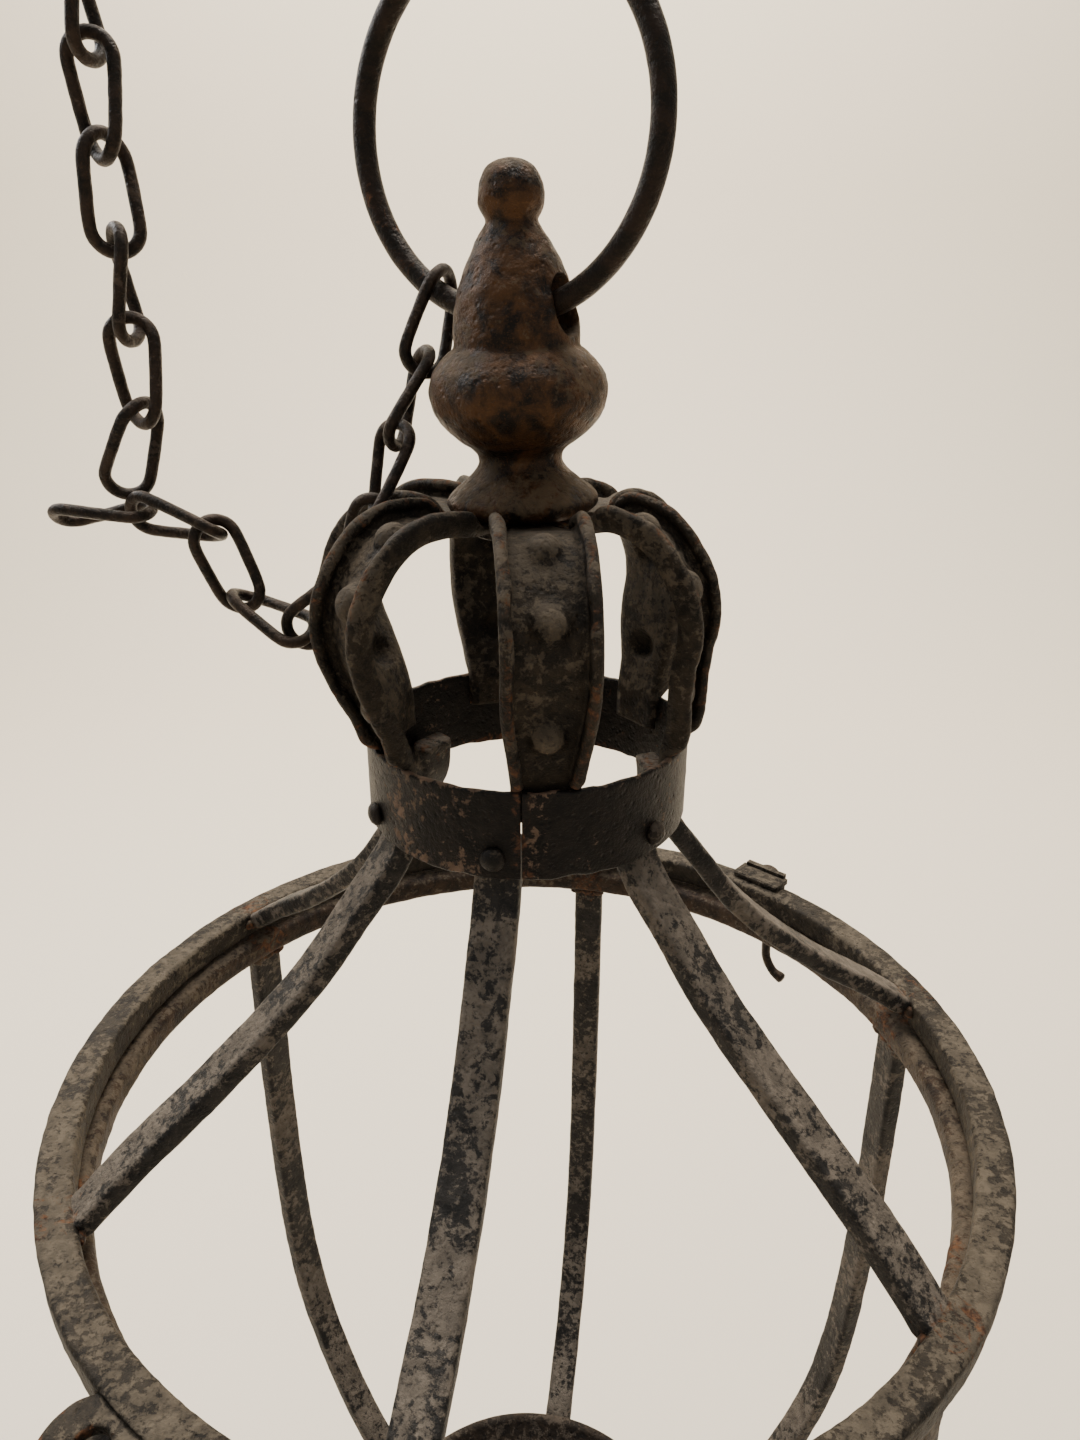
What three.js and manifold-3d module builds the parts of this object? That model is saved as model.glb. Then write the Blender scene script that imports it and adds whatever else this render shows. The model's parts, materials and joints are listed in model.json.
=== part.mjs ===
// Hanging candle lantern of bent and welded iron: a round cage of flat bars under a crown-shaped top,
// with a turned finial, a carrying ring through the finial and a length of chain.
// Millimetres, +Z up. The origin is the point where the lantern hangs: the top of the carrying ring,
// on the inside of its wire. Azimuth 0 faces -Y (the front) and grows towards +X.

import * as THREE from "three";
import { mergeVertices } from "three/addons/utils/BufferGeometryUtils.js";
import Module from "manifold-3d";

const wasm = await Module();
wasm.setup();

// ---- driving dimensions -------------------------------------------------------------------------

const GAP = 0.3; // clearance between pieces that touch

const RING_RADIUS = 26.8; // carrying ring, to the middle of its wire
const RING_WIRE = 3.84;
const RING_YAW = 30; // the ring's plane, turned from the front view

const AXIS_X = 3.8; // the cage hangs this far to the right of the ring's middle
const COLLAR_TOP = -124.2; // level of the collar's upper edge; every height below is above or under it

const FINIAL_LEAN = 2.06; // degrees towards -X
const FINIAL_OFFSET = -0.8; // the foot sits this far off the cage's axis
const FINIAL_FOOT = 40.3;
const SLOT_WIDTH = 7;
const SLOT_LOW = 69;
const SLOT_HIGH = 78.7;

const BOLT_RADIUS = 2.5;
const BOLT_TOP = 54;
const BOLT_BOTTOM = 30.5;
const WASHER_THICK = 1.5;
const NUT_HEIGHT = 4.2;

const STRAP_AZIMUTHS = [6, 68, 126, -166, -112, -55];
const STRAP_SECTOR = 26.8; // half the angle that one strap's tip may fill
const STRAP_WIDTH = 16;
const STRAP_FOOT_WIDTH = 11.6;
const STRAP_SHEET = 1.2;
const STRAP_FLANGE = 2.6; // how far the flanges stand out from the web
const STRAP_TIP = 39; // level of the tips, at the middle of the sheet
// level and radius of the round bumps pressed out of each strap, and how far their middles sit behind the web
const STRAP_BUMPS = [[38.8, 3.2], [29.5, 3.5], [10.3, 3.3]];
const BUMP_SINK = 0.42;
const STRAP_LAP = 0.35; // how far the web stops short inside its flanges
const STRAP_TOLERANCE = 0.02; // edges shorter than this are closed up
const CROWN_LEAN = 3; // the crown's shoulders bulge this much further on the left

const COLLAR_RADIUS = 30.6;
const COLLAR_HEIGHT = 16.5;
const COLLAR_SHEET = 1.2;
const SEAM_AZIMUTH = -2;

const BAR_WIDTH = 8.2;
const BAR_THICK = 4.4;
const BAR_EDGE = 0.9;
// azimuth of each upper bar, and how much its middle is sprung up or down from the common curve
const UPPER_BARS = [[-11, -1], [47, 9], [103, 3], [168, 2], [-128.5, 3], [-63.5, 6]];
const LOWER_BAR_AZIMUTHS = [-12, 46, 104, 168, -129, -70];

const CAGE_RADIUS = 99.8; // outer radius of the upper ring
const UPPER_RING = { inner: 92.8, outer: 99.8, top: -79.5, bottom: -86 };
const LOWER_RING = { inner: 90.2, outer: 98, top: -87, bottom: -93.6 };
const LOWER_SHIFT = 0.8; // the basket hangs this far towards its hinge

const PAN_RIM = 50.5;
const PAN_BASE = -296;
const PAN_SHEET = 1.4;

const HINGE_AZIMUTH = -38;
const LATCH_AZIMUTH = 137;
const PARTING = (UPPER_RING.bottom + LOWER_RING.top) / 2; // level where the basket meets the dome
const HINGE_AXIS = 111.1; // distance of the hinge line from the cage's axis
const HINGE_LOOP = 8; // radius of the wire loop that joins the two ears
const HINGE_WIRE = 2.4;
const EAR_RADIUS = 8.4;
const EAR_HOLE = 2.9;
const EAR_THICK = 2.4;

const LINK_PITCH = 13.2; // from one contact to the next
const LINK_WIRE = 2.1;
const LINK_WIDTH = 9.6;
const LINK_PLAY = 1.6;

// ---- materials ----------------------------------------------------------------------------------

function metal(name, color, roughness) {
  return new THREE.MeshStandardMaterial({ name, color, roughness, metalness: 0.55 });
}

const MATERIALS = {
  finial: () => metal("finial_iron", 0x4a3826, 0.62),
  ring: () => metal("ring_wire", 0x2b211b, 0.5),
  strap: () => metal("strap_sheet", 0x3d352b, 0.8),
  collar: () => metal("collar_sheet", 0x221f1d, 0.7),
  bar: () => metal("bar_iron", 0x57524a, 0.85),
  cage: () => metal("cage_ring", 0x4b463c, 0.85),
  pan: () => metal("pan_sheet", 0x2e2823, 0.8),
  fastener: () => metal("fastener_iron", 0x2a2522, 0.6),
  chain: () => metal("chain_wire", 0x30261f, 0.6),
};

// ---- solids -------------------------------------------------------------------------------------

function solid(geometry) {
  const bare = geometry.clone();
  bare.deleteAttribute("normal");
  bare.deleteAttribute("uv");
  const merged = mergeVertices(bare, 1e-4);
  const vertProperties = new Float32Array(merged.attributes.position.array);
  const triVerts = new Uint32Array(merged.index.array);
  return new wasm.Manifold(new wasm.Mesh({ numProp: 3, vertProperties, triVerts }));
}

function geometryOf(body) {
  const mesh = body.getMesh();
  const geometry = new THREE.BufferGeometry();
  const positions = new Float32Array(mesh.vertProperties);
  geometry.setAttribute("position", new THREE.BufferAttribute(positions, 3));
  geometry.setIndex(new THREE.BufferAttribute(new Uint32Array(mesh.triVerts), 1));
  return geometry;
}

function join(pieces) {
  return pieces.reduce((sum, piece) => sum.add(piece));
}

function cut(body, tools) {
  return tools.reduce((rest, tool) => rest.subtract(tool), body);
}

// A cylinder along +Z from one level to another.
function upright(radius, low, high, sides = 16) {
  const geometry = new THREE.CylinderGeometry(radius, radius, high - low, sides);
  geometry.rotateX(Math.PI / 2);
  geometry.translate(0, 0, (low + high) / 2);
  return geometry;
}

// A cylinder along +X, the way out from the axis, between two radii at one level.
function radial(radius, from, to, level, sides = 10) {
  const geometry = new THREE.CylinderGeometry(radius, radius, to - from, sides);
  geometry.rotateZ(Math.PI / 2);
  geometry.translate((from + to) / 2, 0, level);
  return geometry;
}

function lathe(points, segments) {
  const profile = points.map(([r, z]) => new THREE.Vector2(r, z));
  const geometry = new THREE.LatheGeometry(profile, segments);
  geometry.rotateX(Math.PI / 2);
  return geometry;
}

function turn(geometry, azimuth) {
  geometry.rotateZ(THREE.MathUtils.degToRad(azimuth - 90));
  return geometry;
}

function add(group, name, geometry, material) {
  const mesh = new THREE.Mesh(geometry, material);
  mesh.name = name;
  group.add(mesh);
  return mesh;
}

function smooth(low, high, value) {
  return THREE.MathUtils.smoothstep(value, low, high);
}

// Points along a smooth curve in the radius-height plane.
function curve2(points, steps) {
  const knots = points.map(([r, z]) => new THREE.Vector3(r, 0, z));
  const route = new THREE.CatmullRomCurve3(knots, false, "centripetal");
  return route.getSpacedPoints(steps).map((p) => [p.x, p.z]);
}

// The outline of a strip of even thickness that follows a curve in the radius-height plane.
function stripOutline(points, thick) {
  const sides = [[], []];
  points.forEach(([r, z], i) => {
    const before = points[Math.max(i - 1, 0)];
    const after = points[Math.min(i + 1, points.length - 1)];
    const along = new THREE.Vector2(after[0] - before[0], after[1] - before[1]).normalize();
    sides[0].push([r - along.y * thick / 2, z + along.x * thick / 2]);
    sides[1].push([r + along.y * thick / 2, z - along.x * thick / 2]);
  });
  return [...sides[0], ...sides[1].reverse()];
}

// Stands a radius-height outline upright in the XZ plane and gives it a width across it.
function slab(outline, width, edge = 0) {
  const shape = new THREE.Shape(outline.map(([r, z]) => new THREE.Vector2(r, z)));
  const geometry = new THREE.ExtrudeGeometry(shape, {
    depth: width - 2 * edge,
    bevelEnabled: edge > 0,
    bevelThickness: edge,
    bevelSize: edge,
    bevelOffset: -edge,
    bevelSegments: 1,
  });
  geometry.rotateX(Math.PI / 2);
  geometry.translate(0, width / 2 - edge, 0);
  return geometry;
}

// A round wire along a path: a tube where the path closes on itself, otherwise a polygon drawn along it.
function wire(path, diameter, steps, sides = 8) {
  if (path.closed) {
    return new THREE.TubeGeometry(path, steps, diameter / 2, sides, true);
  }
  const corners = [];
  for (let i = 0; i < sides; i += 1) {
    const angle = (2 * Math.PI * i) / sides;
    corners.push(new THREE.Vector2(Math.cos(angle), Math.sin(angle)).multiplyScalar(diameter / 2));
  }
  const round = new THREE.Shape(corners);
  return new THREE.ExtrudeGeometry(round, { steps, extrudePath: path, bevelEnabled: false });
}

function closedPath(points) {
  return new THREE.CatmullRomCurve3(points, true, "centripetal");
}

function circlePoints(radius, count) {
  const points = [];
  for (let i = 0; i < count; i += 1) {
    const angle = (2 * Math.PI * i) / count;
    points.push(new THREE.Vector3(radius * Math.cos(angle), 0, radius * Math.sin(angle)));
  }
  return points;
}

// A band with softened corners, turned round the cage's axis.
function turnedBand({ inner, outer, top, bottom }, edge, segments) {
  return lathe(
    [
      [inner + edge, bottom],
      [outer - edge, bottom],
      [outer, bottom + edge],
      [outer, top - edge],
      [outer - edge, top],
      [inner + edge, top],
      [inner, top - edge],
      [inner, bottom + edge],
      [inner + edge, bottom],
    ],
    segments,
  );
}

// ---- carrying ring ------------------------------------------------------------------------------

function carryingRing(group) {
  const geometry = wire(closedPath(circlePoints(RING_RADIUS, 24)), RING_WIRE, 36);
  geometry.rotateZ(THREE.MathUtils.degToRad(-RING_YAW));
  geometry.translate(0, 0, -(RING_RADIUS - RING_WIRE / 2));
  add(group, "carrying_ring", geometry, MATERIALS.ring());
}

// ---- finial, with its bolt ----------------------------------------------------------------------

function finialProfile() {
  return [
    [0, FINIAL_FOOT], [11.4, FINIAL_FOOT], [12.8, 41.4], [13.1, 42.8], [12.3, 44], [10.3, 45.7], [8.3, 47.5],
    [7.3, 49], [7.3, 50.2], [8.2, 51.4], [9.9, 52.5], [12, 54.2], [13.6, 56], [14.6, 57.8], [15.05, 60],
    [14.9, 61.8], [14.3, 63.8], [13.1, 65.4], [11.5, 67], [10.7, 67.6], [10.55, 69.5], [10.3, 71.7],
    [9.6, 74.8], [8.9, 77.2], [7.8, 80.2], [6.3, 83], [4.9, 85.2], [4.25, 86.5], [4.7, 87.4], [5.3, 88.8],
    [5.4, 90.2], [4.95, 92.3], [3.9, 94], [2.2, 95], [0, 95.4],
  ];
}

function slotTool() {
  const radius = SLOT_WIDTH / 2;
  const shape = new THREE.Shape();
  shape.absarc(0, SLOT_HIGH - radius, radius, 0, Math.PI);
  shape.absarc(0, SLOT_LOW + radius, radius, Math.PI, 2 * Math.PI);
  const geometry = new THREE.ExtrudeGeometry(shape, { depth: 60, bevelEnabled: false, curveSegments: 6 });
  geometry.translate(0, 0, -30);
  geometry.rotateX(Math.PI / 2);
  geometry.rotateZ(THREE.MathUtils.degToRad(90 - RING_YAW));
  return geometry;
}

function finialGroup(lantern) {
  const lean = new THREE.Group();
  lean.position.set(FINIAL_OFFSET, 0, FINIAL_FOOT);
  lean.rotation.y = THREE.MathUtils.degToRad(-FINIAL_LEAN);
  lantern.add(lean);
  const body = cut(solid(lathe(finialProfile(), 18)), [
    solid(slotTool()),
    solid(upright(BOLT_RADIUS + 0.2, FINIAL_FOOT - 5, BOLT_TOP + 1)),
  ]);
  const finial = geometryOf(body);
  finial.translate(0, 0, -FINIAL_FOOT);
  add(lean, "finial", finial, MATERIALS.finial());
  const bolt = upright(BOLT_RADIUS, BOLT_BOTTOM, BOLT_TOP);
  bolt.translate(0, 0, -FINIAL_FOOT);
  add(lean, "finial_bolt", bolt, MATERIALS.fastener());
}

function boltWasher(lantern) {
  const top = STRAP_TIP - STRAP_SHEET / 2 - GAP;
  const washer = turnedBand({ inner: 3.1, outer: 9, top, bottom: top - WASHER_THICK }, 0.2, 24);
  washer.translate(FINIAL_OFFSET, 0, 0);
  add(lantern, "bolt_washer", washer, MATERIALS.fastener());
}

function boltNut(lantern) {
  const top = STRAP_TIP - STRAP_SHEET / 2 - WASHER_THICK - 2 * GAP;
  const hexagon = upright(4.9, top - NUT_HEIGHT, top, 6);
  const bore = upright(BOLT_RADIUS + 0.55, top - 6, top + 2, 14);
  const nut = geometryOf(cut(solid(hexagon), [solid(bore)]));
  nut.translate(FINIAL_OFFSET, 0, 0);
  add(lantern, "bolt_nut", nut, MATERIALS.fastener());
}

// ---- crown: six pressed channel straps ----------------------------------------------------------

// The middle of the strap's web, from the finial's foot over the shoulder and down inside the collar.
function strapCurve(azimuth) {
  const bulge = -Math.sin(THREE.MathUtils.degToRad(azimuth)) * CROWN_LEAN;
  const points = [
    [4, STRAP_TIP], [9, STRAP_TIP], [14, 39.2], [19, 39.9], [23.5, 39], [27, 36.7], [29.6, 33.6],
    [31.6, 30.2], [32.9, 26.5], [33.2, 22.5], [32.4, 18], [31.1, 13], [29.4, 6], [27.9, 0], [27.5, -6.5],
  ];
  return points.map(([r, z]) => [r + bulge * smooth(13, 24, r) * smooth(2, 20, z), z]);
}

function strapWidthAt(z) {
  return THREE.MathUtils.lerp(STRAP_FOOT_WIDTH, STRAP_WIDTH, smooth(-3, 19, z));
}

// Narrows a full-width strap towards the collar.
function taper(geometry) {
  const p = geometry.attributes.position;
  for (let i = 0; i < p.count; i += 1) {
    p.setY(i, (p.getY(i) * strapWidthAt(p.getZ(i))) / STRAP_WIDTH);
  }
  return geometry;
}

function strapFlange(curve, side) {
  const kept = curve.filter(([r, z]) => r > 14.4 && z > 1);
  const flange = kept.map(([r, z], i) => {
    const before = kept[Math.max(i - 1, 0)];
    const after = kept[Math.min(i + 1, kept.length - 1)];
    const along = new THREE.Vector2(after[0] - before[0], after[1] - before[1]).normalize();
    const out = (STRAP_FLANGE + STRAP_LAP) / 2;
    return [r - along.y * out, z + along.x * out];
  });
  const geometry = slab(stripOutline(flange, STRAP_FLANGE + STRAP_SHEET - STRAP_LAP), STRAP_SHEET);
  geometry.translate(0, side * (STRAP_WIDTH - STRAP_SHEET) / 2, 0);
  return geometry;
}

function strapBumps(curve) {
  const domes = [];
  const dents = [];
  for (const [level, size] of STRAP_BUMPS) {
    const i = curve.findIndex(([r, z]) => r > 20 && z < level);
    const [r, z] = curve[i];
    const along = new THREE.Vector2(curve[i + 1][0] - r, curve[i + 1][1] - z).normalize();
    const dome = new THREE.SphereGeometry(size, 7, 4);
    const dent = new THREE.SphereGeometry(size * 0.72, 5, 3);
    const inward = size * BUMP_SINK;
    for (const piece of [dome, dent]) {
      piece.translate(r + along.y * inward, 0, z - along.x * inward);
    }
    domes.push(solid(dome));
    dents.push(solid(dent));
  }
  return { domes, dents };
}

// The wedge of the crown that one strap may fill, so that the tips narrow to points beside each other.
function strapSector() {
  const reach = 80;
  const half = reach * Math.tan(THREE.MathUtils.degToRad(STRAP_SECTOR));
  const shape = new THREE.Shape([
    new THREE.Vector2(GAP, 0),
    new THREE.Vector2(reach, -half + GAP / 2),
    new THREE.Vector2(reach, half - GAP / 2),
  ]);
  const geometry = new THREE.ExtrudeGeometry(shape, { depth: 120, bevelEnabled: false });
  geometry.translate(0, 0, -60);
  return solid(geometry);
}

function crownStrap(lantern, azimuth, number) {
  const curve = curve2(strapCurve(azimuth), 13);
  const web = solid(taper(slab(stripOutline(curve, STRAP_SHEET), STRAP_WIDTH - 2 * STRAP_LAP)));
  const flanges = [-1, 1].map((side) => solid(taper(strapFlange(curve, side))));
  const { domes, dents } = strapBumps(curve);
  const inside = solid(slab(insideOf(curve), STRAP_WIDTH));
  const bumps = join(domes).subtract(inside);
  const body = cut(join([web, ...flanges, bumps]), dents).intersect(strapSector());
  const clean = body.setTolerance(STRAP_TOLERANCE);
  add(lantern, `crown_strap_${number}`, turn(geometryOf(clean), azimuth), MATERIALS.strap());
}

// Everything on the hollow side of a strap's web, to trim the backs of the pressed bumps.
function insideOf(curve) {
  const inner = curve.map(([r, z], i) => {
    const before = curve[Math.max(i - 1, 0)];
    const after = curve[Math.min(i + 1, curve.length - 1)];
    const along = new THREE.Vector2(after[0] - before[0], after[1] - before[1]).normalize();
    return [r + along.y * STRAP_SHEET / 2, z - along.x * STRAP_SHEET / 2];
  });
  return [...inner, [0, inner[inner.length - 1][1]], [0, inner[0][1]]];
}

// ---- collar and its rivets ----------------------------------------------------------------------

const RIVET_LEVEL = -12.4;

function collar(lantern) {
  const slit = 0.35 / COLLAR_RADIUS;
  const start = THREE.MathUtils.degToRad(SEAM_AZIMUTH - 90) + slit;
  const end = start + 2 * Math.PI - 2 * slit;
  const shape = new THREE.Shape();
  shape.absarc(0, 0, COLLAR_RADIUS, start, end, false);
  shape.absarc(0, 0, COLLAR_RADIUS - COLLAR_SHEET, end, start, true);
  const geometry = new THREE.ExtrudeGeometry(shape, {
    depth: COLLAR_HEIGHT,
    bevelEnabled: false,
    curveSegments: 32,
  });
  geometry.translate(0, 0, -COLLAR_HEIGHT);
  const holes = UPPER_BARS.map(([azimuth]) => solid(turn(radial(1.6, 20, 40, RIVET_LEVEL), azimuth)));
  add(lantern, "collar", geometryOf(cut(solid(geometry), holes)), MATERIALS.collar());
}

function collarRivet(lantern, azimuth, number) {
  const head = new THREE.SphereGeometry(2.4, 7, 5);
  head.scale(0.75, 1, 1);
  head.translate(COLLAR_RADIUS + GAP, 0, RIVET_LEVEL);
  const room = new THREE.BoxGeometry(20, 20, 20);
  room.translate(COLLAR_RADIUS + GAP - 10, 0, RIVET_LEVEL);
  const shank = radial(1.3, COLLAR_RADIUS - 6.5, COLLAR_RADIUS + 1, RIVET_LEVEL);
  const body = solid(head).subtract(solid(room)).add(solid(shank));
  add(lantern, `collar_rivet_${number}`, turn(geometryOf(body), azimuth), MATERIALS.fastener());
}

// ---- dome: upper bars and ring ------------------------------------------------------------------

function upperBar(lantern, [azimuth, spring], number) {
  const end = UPPER_RING.inner - GAP;
  const points = curve2(
    [[25.3, -9.5], [25.8, -13.5], [26.4, -17.8], [29.2, -24], [36.5, -35], [46, -48.5], [56.7, -59.3],
      [69, -68.6], [81.6, -75.6], [end, -82]],
    12,
  ).map(([r, z]) => [r, z + spring * Math.sin((Math.PI * (r - 25)) / (end - 25))]);
  const outline = stripOutline(points, BAR_THICK);
  const last = points.length - 1;
  outline[last][0] = end;
  outline[last + 1][0] = end;
  const bar = solid(slab(outline, BAR_WIDTH, BAR_EDGE));
  const hole = solid(radial(1.55, COLLAR_RADIUS - 8, COLLAR_RADIUS + 2, RIVET_LEVEL));
  const name = `upper_bar_${number}`;
  add(lantern, name, turn(geometryOf(bar.subtract(hole)), azimuth), MATERIALS.bar());
}

function upperRing(lantern) {
  const hinge = turn(earRoom(1), HINGE_AZIMUTH);
  const body = solid(turnedBand(UPPER_RING, 1, 48));
  add(lantern, "upper_ring", geometryOf(body.subtract(solid(hinge))), MATERIALS.cage());
}

// ---- basket: lower ring, bars and candle pan ----------------------------------------------------

function lowerRing(basket) {
  const hinge = turn(earRoom(-1), HINGE_AZIMUTH);
  hinge.translate(-basket.position.x + AXIS_X, -basket.position.y, 0);
  const body = solid(turnedBand(LOWER_RING, 1.4, 48));
  add(basket, "lower_ring", geometryOf(body.subtract(solid(hinge))), MATERIALS.cage());
}

function lowerBar(basket, azimuth, number) {
  const points = curve2(
    [[94.4, LOWER_RING.bottom - GAP], [94.9, -125], [95, -150], [94.3, -180], [92.3, -205], [88.2, -225],
      [81.2, -243], [72, -259.5], [62, -271.8], [52.6, -281], [42.5, -291]],
    12,
  );
  const bar = slab(stripOutline(points, BAR_THICK), BAR_WIDTH, BAR_EDGE);
  add(basket, `lower_bar_${number}`, turn(bar, azimuth), MATERIALS.bar());
}

function candlePan(basket) {
  const s = PAN_SHEET;
  const foot = 33;
  const lip = 1.5;
  const floor = PAN_BASE + s;
  const rimLevel = -278;
  const pan = lathe(
    [
      [0, PAN_BASE], [foot, PAN_BASE], [foot + 1.6, PAN_BASE + 1.8], [PAN_RIM - 1.6, rimLevel - 1],
      [PAN_RIM, rimLevel - 0.4], [PAN_RIM + 0.4, rimLevel + 0.8], [PAN_RIM - 0.6, rimLevel + lip],
      [PAN_RIM - 2, rimLevel + 1], [PAN_RIM - 3.4, rimLevel - 0.6], [foot - 0.4, floor + 1],
      [foot - 1.6, floor], [17.5, floor], [16.5, floor + 1.6], [15, floor + 1.6], [14, floor], [0, floor],
    ],
    28,
  );
  add(basket, "candle_pan", pan, MATERIALS.pan());
}

// ---- hinge: two ears and a wire loop ------------------------------------------------------------

const EAR_LEVEL = 3.2; // from the parting level to the nearer face of each ear
const EAR_MIDDLE = EAR_LEVEL + EAR_THICK / 2;
const EAR_CENTRE = HINGE_AXIS - Math.sqrt(HINGE_LOOP ** 2 - EAR_MIDDLE ** 2);

function earPlate(grow) {
  const low = EAR_LEVEL - grow;
  const plate = upright(EAR_RADIUS + grow, low, EAR_LEVEL + EAR_THICK + grow, 24);
  plate.translate(EAR_CENTRE, 0, 0);
  return plate;
}

// The notch that an ear needs in its ring. Side 1 is above the parting level, -1 below it.
function earRoom(side) {
  const plate = earPlate(GAP);
  if (side < 0) {
    plate.rotateX(Math.PI);
  }
  plate.translate(0, 0, PARTING);
  return plate;
}

function hingeEar(lantern, side, name) {
  const hole = upright(EAR_HOLE, -10, 10, 16);
  hole.translate(EAR_CENTRE, 0, 0);
  const ear = geometryOf(solid(earPlate(0)).subtract(solid(hole)));
  if (side < 0) {
    ear.rotateX(Math.PI);
  }
  ear.translate(0, 0, PARTING);
  add(lantern, name, turn(ear, HINGE_AZIMUTH), MATERIALS.cage());
}

function hingeLoop(lantern) {
  const loop = wire(closedPath(circlePoints(HINGE_LOOP, 16)), HINGE_WIRE, 20, 6);
  loop.translate(HINGE_AXIS, 0, PARTING);
  add(lantern, "hinge_loop", turn(loop, HINGE_AZIMUTH), MATERIALS.fastener());
}

// ---- latch: bracket, rivet, hook and stud -------------------------------------------------------

const HOOK_WIRE = 2.6;
const HOOK_RADIUS = CAGE_RADIUS + 3.4; // the plane in which the hook swings
const HOOK_PIVOT = -80.5;
const STUD_LEVEL = -92;

function latchBracket(lantern) {
  const outline = [[-7, -79.2], [7, -79.2], [7, -77.6], [-7, -77.6]];
  const shape = new THREE.Shape(outline.map(([y, z]) => new THREE.Vector2(y, z)));
  const top = new THREE.ExtrudeGeometry(shape, {
    depth: 5.8,
    bevelEnabled: true,
    bevelThickness: 0.4,
    bevelSize: 0.4,
    bevelOffset: -0.4,
    bevelSegments: 1,
  });
  top.rotateX(Math.PI / 2);
  top.rotateZ(Math.PI / 2);
  top.translate(CAGE_RADIUS - 4.6, 0, 0);
  const front = new THREE.BoxGeometry(1.6, 12, 9);
  front.translate(CAGE_RADIUS + 1.2, 0, -81.1);
  const hole = radial(1.5, CAGE_RADIUS - 1, CAGE_RADIUS + 4, HOOK_PIVOT - 0.6);
  const body = join([solid(top), solid(front)]).subtract(solid(hole));
  add(lantern, "latch_bracket", turn(geometryOf(body), LATCH_AZIMUTH), MATERIALS.cage());
}

function latchRivet(lantern) {
  const shank = radial(1.2, CAGE_RADIUS + 0.3, HOOK_RADIUS + 1.6, HOOK_PIVOT - 0.6);
  const head = new THREE.SphereGeometry(2.3, 8, 6);
  head.scale(0.5, 1, 1);
  head.translate(HOOK_RADIUS + 2.4, 0, HOOK_PIVOT - 0.6);
  const rivet = geometryOf(solid(shank).add(solid(head)));
  add(lantern, "latch_rivet", turn(rivet, LATCH_AZIMUTH), MATERIALS.fastener());
}

// The hook hangs from an eye round the rivet, passes over the stud and curls out at its tail.
function latchHook(lantern) {
  const eye = new THREE.TorusGeometry(2.9, HOOK_WIRE / 2, 6, 12);
  eye.rotateY(Math.PI / 2);
  eye.translate(HOOK_RADIUS, 0, HOOK_PIVOT - 0.6);
  const tail = new THREE.CatmullRomCurve3(
    [[0, -84.2], [0.2, -87], [1.8, -89.2], [3.1, -92], [2.2, -95], [-0.4, -97.2], [-1.6, -100], [-1.4, -104],
      [-2, -108], [-4.4, -111.4], [-7.4, -112.6]].map(([y, z]) => new THREE.Vector3(HOOK_RADIUS, y, z)),
  );
  const stem = wire(tail, HOOK_WIRE, 16, 6);
  const blob = new THREE.SphereGeometry(1.6, 8, 6);
  blob.translate(HOOK_RADIUS, -7.8, -112.6);
  const hook = geometryOf(join([solid(eye), solid(stem), solid(blob)]));
  add(lantern, "latch_hook", turn(hook, LATCH_AZIMUTH), MATERIALS.chain());
}

function latchStud(lantern) {
  const shank = radial(1.2, LOWER_RING.outer - LOWER_SHIFT + GAP, HOOK_RADIUS + 1, STUD_LEVEL);
  const head = new THREE.SphereGeometry(1.9, 8, 6);
  head.scale(0.5, 1, 1);
  head.translate(HOOK_RADIUS + 2.4, 0, STUD_LEVEL);
  const neck = radial(1.2, HOOK_RADIUS, HOOK_RADIUS + 2.4, STUD_LEVEL);
  const stud = geometryOf(join([solid(shank), solid(neck), solid(head)]));
  add(lantern, "latch_stud", turn(stud, LATCH_AZIMUTH), MATERIALS.fastener());
}

// ---- chain --------------------------------------------------------------------------------------

// The chain hangs from the carrying ring, dips inside the crown, leaves between two straps and is
// drawn up again on the left. Each row is the point that a link is headed for, and its roll in degrees.
const CHAIN_START = [-10.4, 6.6, -46.7];
const CHAIN_ROUTE = [
  [-14.1, 4.2, -59.1, 135], [-18.7, 0.2, -70.9, 90], [-22.5, -2.9, -83.1, 60], [-26.8, -4.8, -95.5, 30],
  [-36.4, -6, -104, 154], [-47.2, -0.5, -99.9, 75], [-51.9, -0.9, -87.6, 10], [-64.5, 1.3, -84.4, 135],
];
const RISER_ROUTE = [
  [-61.4, -0.2, -67.4, 45], [-61.4, -0.4, -54, 163], [-61.4, -0.6, -41, 101], [-61.6, -0.3, -28, 39],
  [-61.8, 0, -15, 157], [-62, 0, -2, 95],
];
const LINK_TWIST = 28; // one end of a link against its other end

// One oval link of bent wire between two bearing points, its two ends turned a little against each other.
function linkPath(from, to, roll) {
  const along = to.clone().sub(from).normalize();
  const across = new THREE.Vector3(0, 1, 0).cross(along).normalize();
  const half = (from.distanceTo(to) + LINK_WIRE + LINK_PLAY) / 2;
  const bend = (LINK_WIDTH - LINK_WIRE) / 2;
  const middle = from.clone().add(to).multiplyScalar(0.5);
  const points = [];
  for (let i = 0; i < 16; i += 1) {
    const angle = (2 * Math.PI * (i + 0.5)) / 16;
    const x = Math.cos(angle) * bend + Math.sign(Math.cos(angle)) * (half - bend);
    const turned = THREE.MathUtils.degToRad(roll + (LINK_TWIST * x) / (2 * half));
    const side = across.clone().applyAxisAngle(along, turned).multiplyScalar(Math.sin(angle) * bend);
    points.push(middle.clone().addScaledVector(along, x).add(side));
  }
  return closedPath(points);
}

function chainLink(group, name, from, to, roll) {
  add(group, name, wire(linkPath(from, to, roll), LINK_WIRE, 14, 6), MATERIALS.chain());
}

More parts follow.
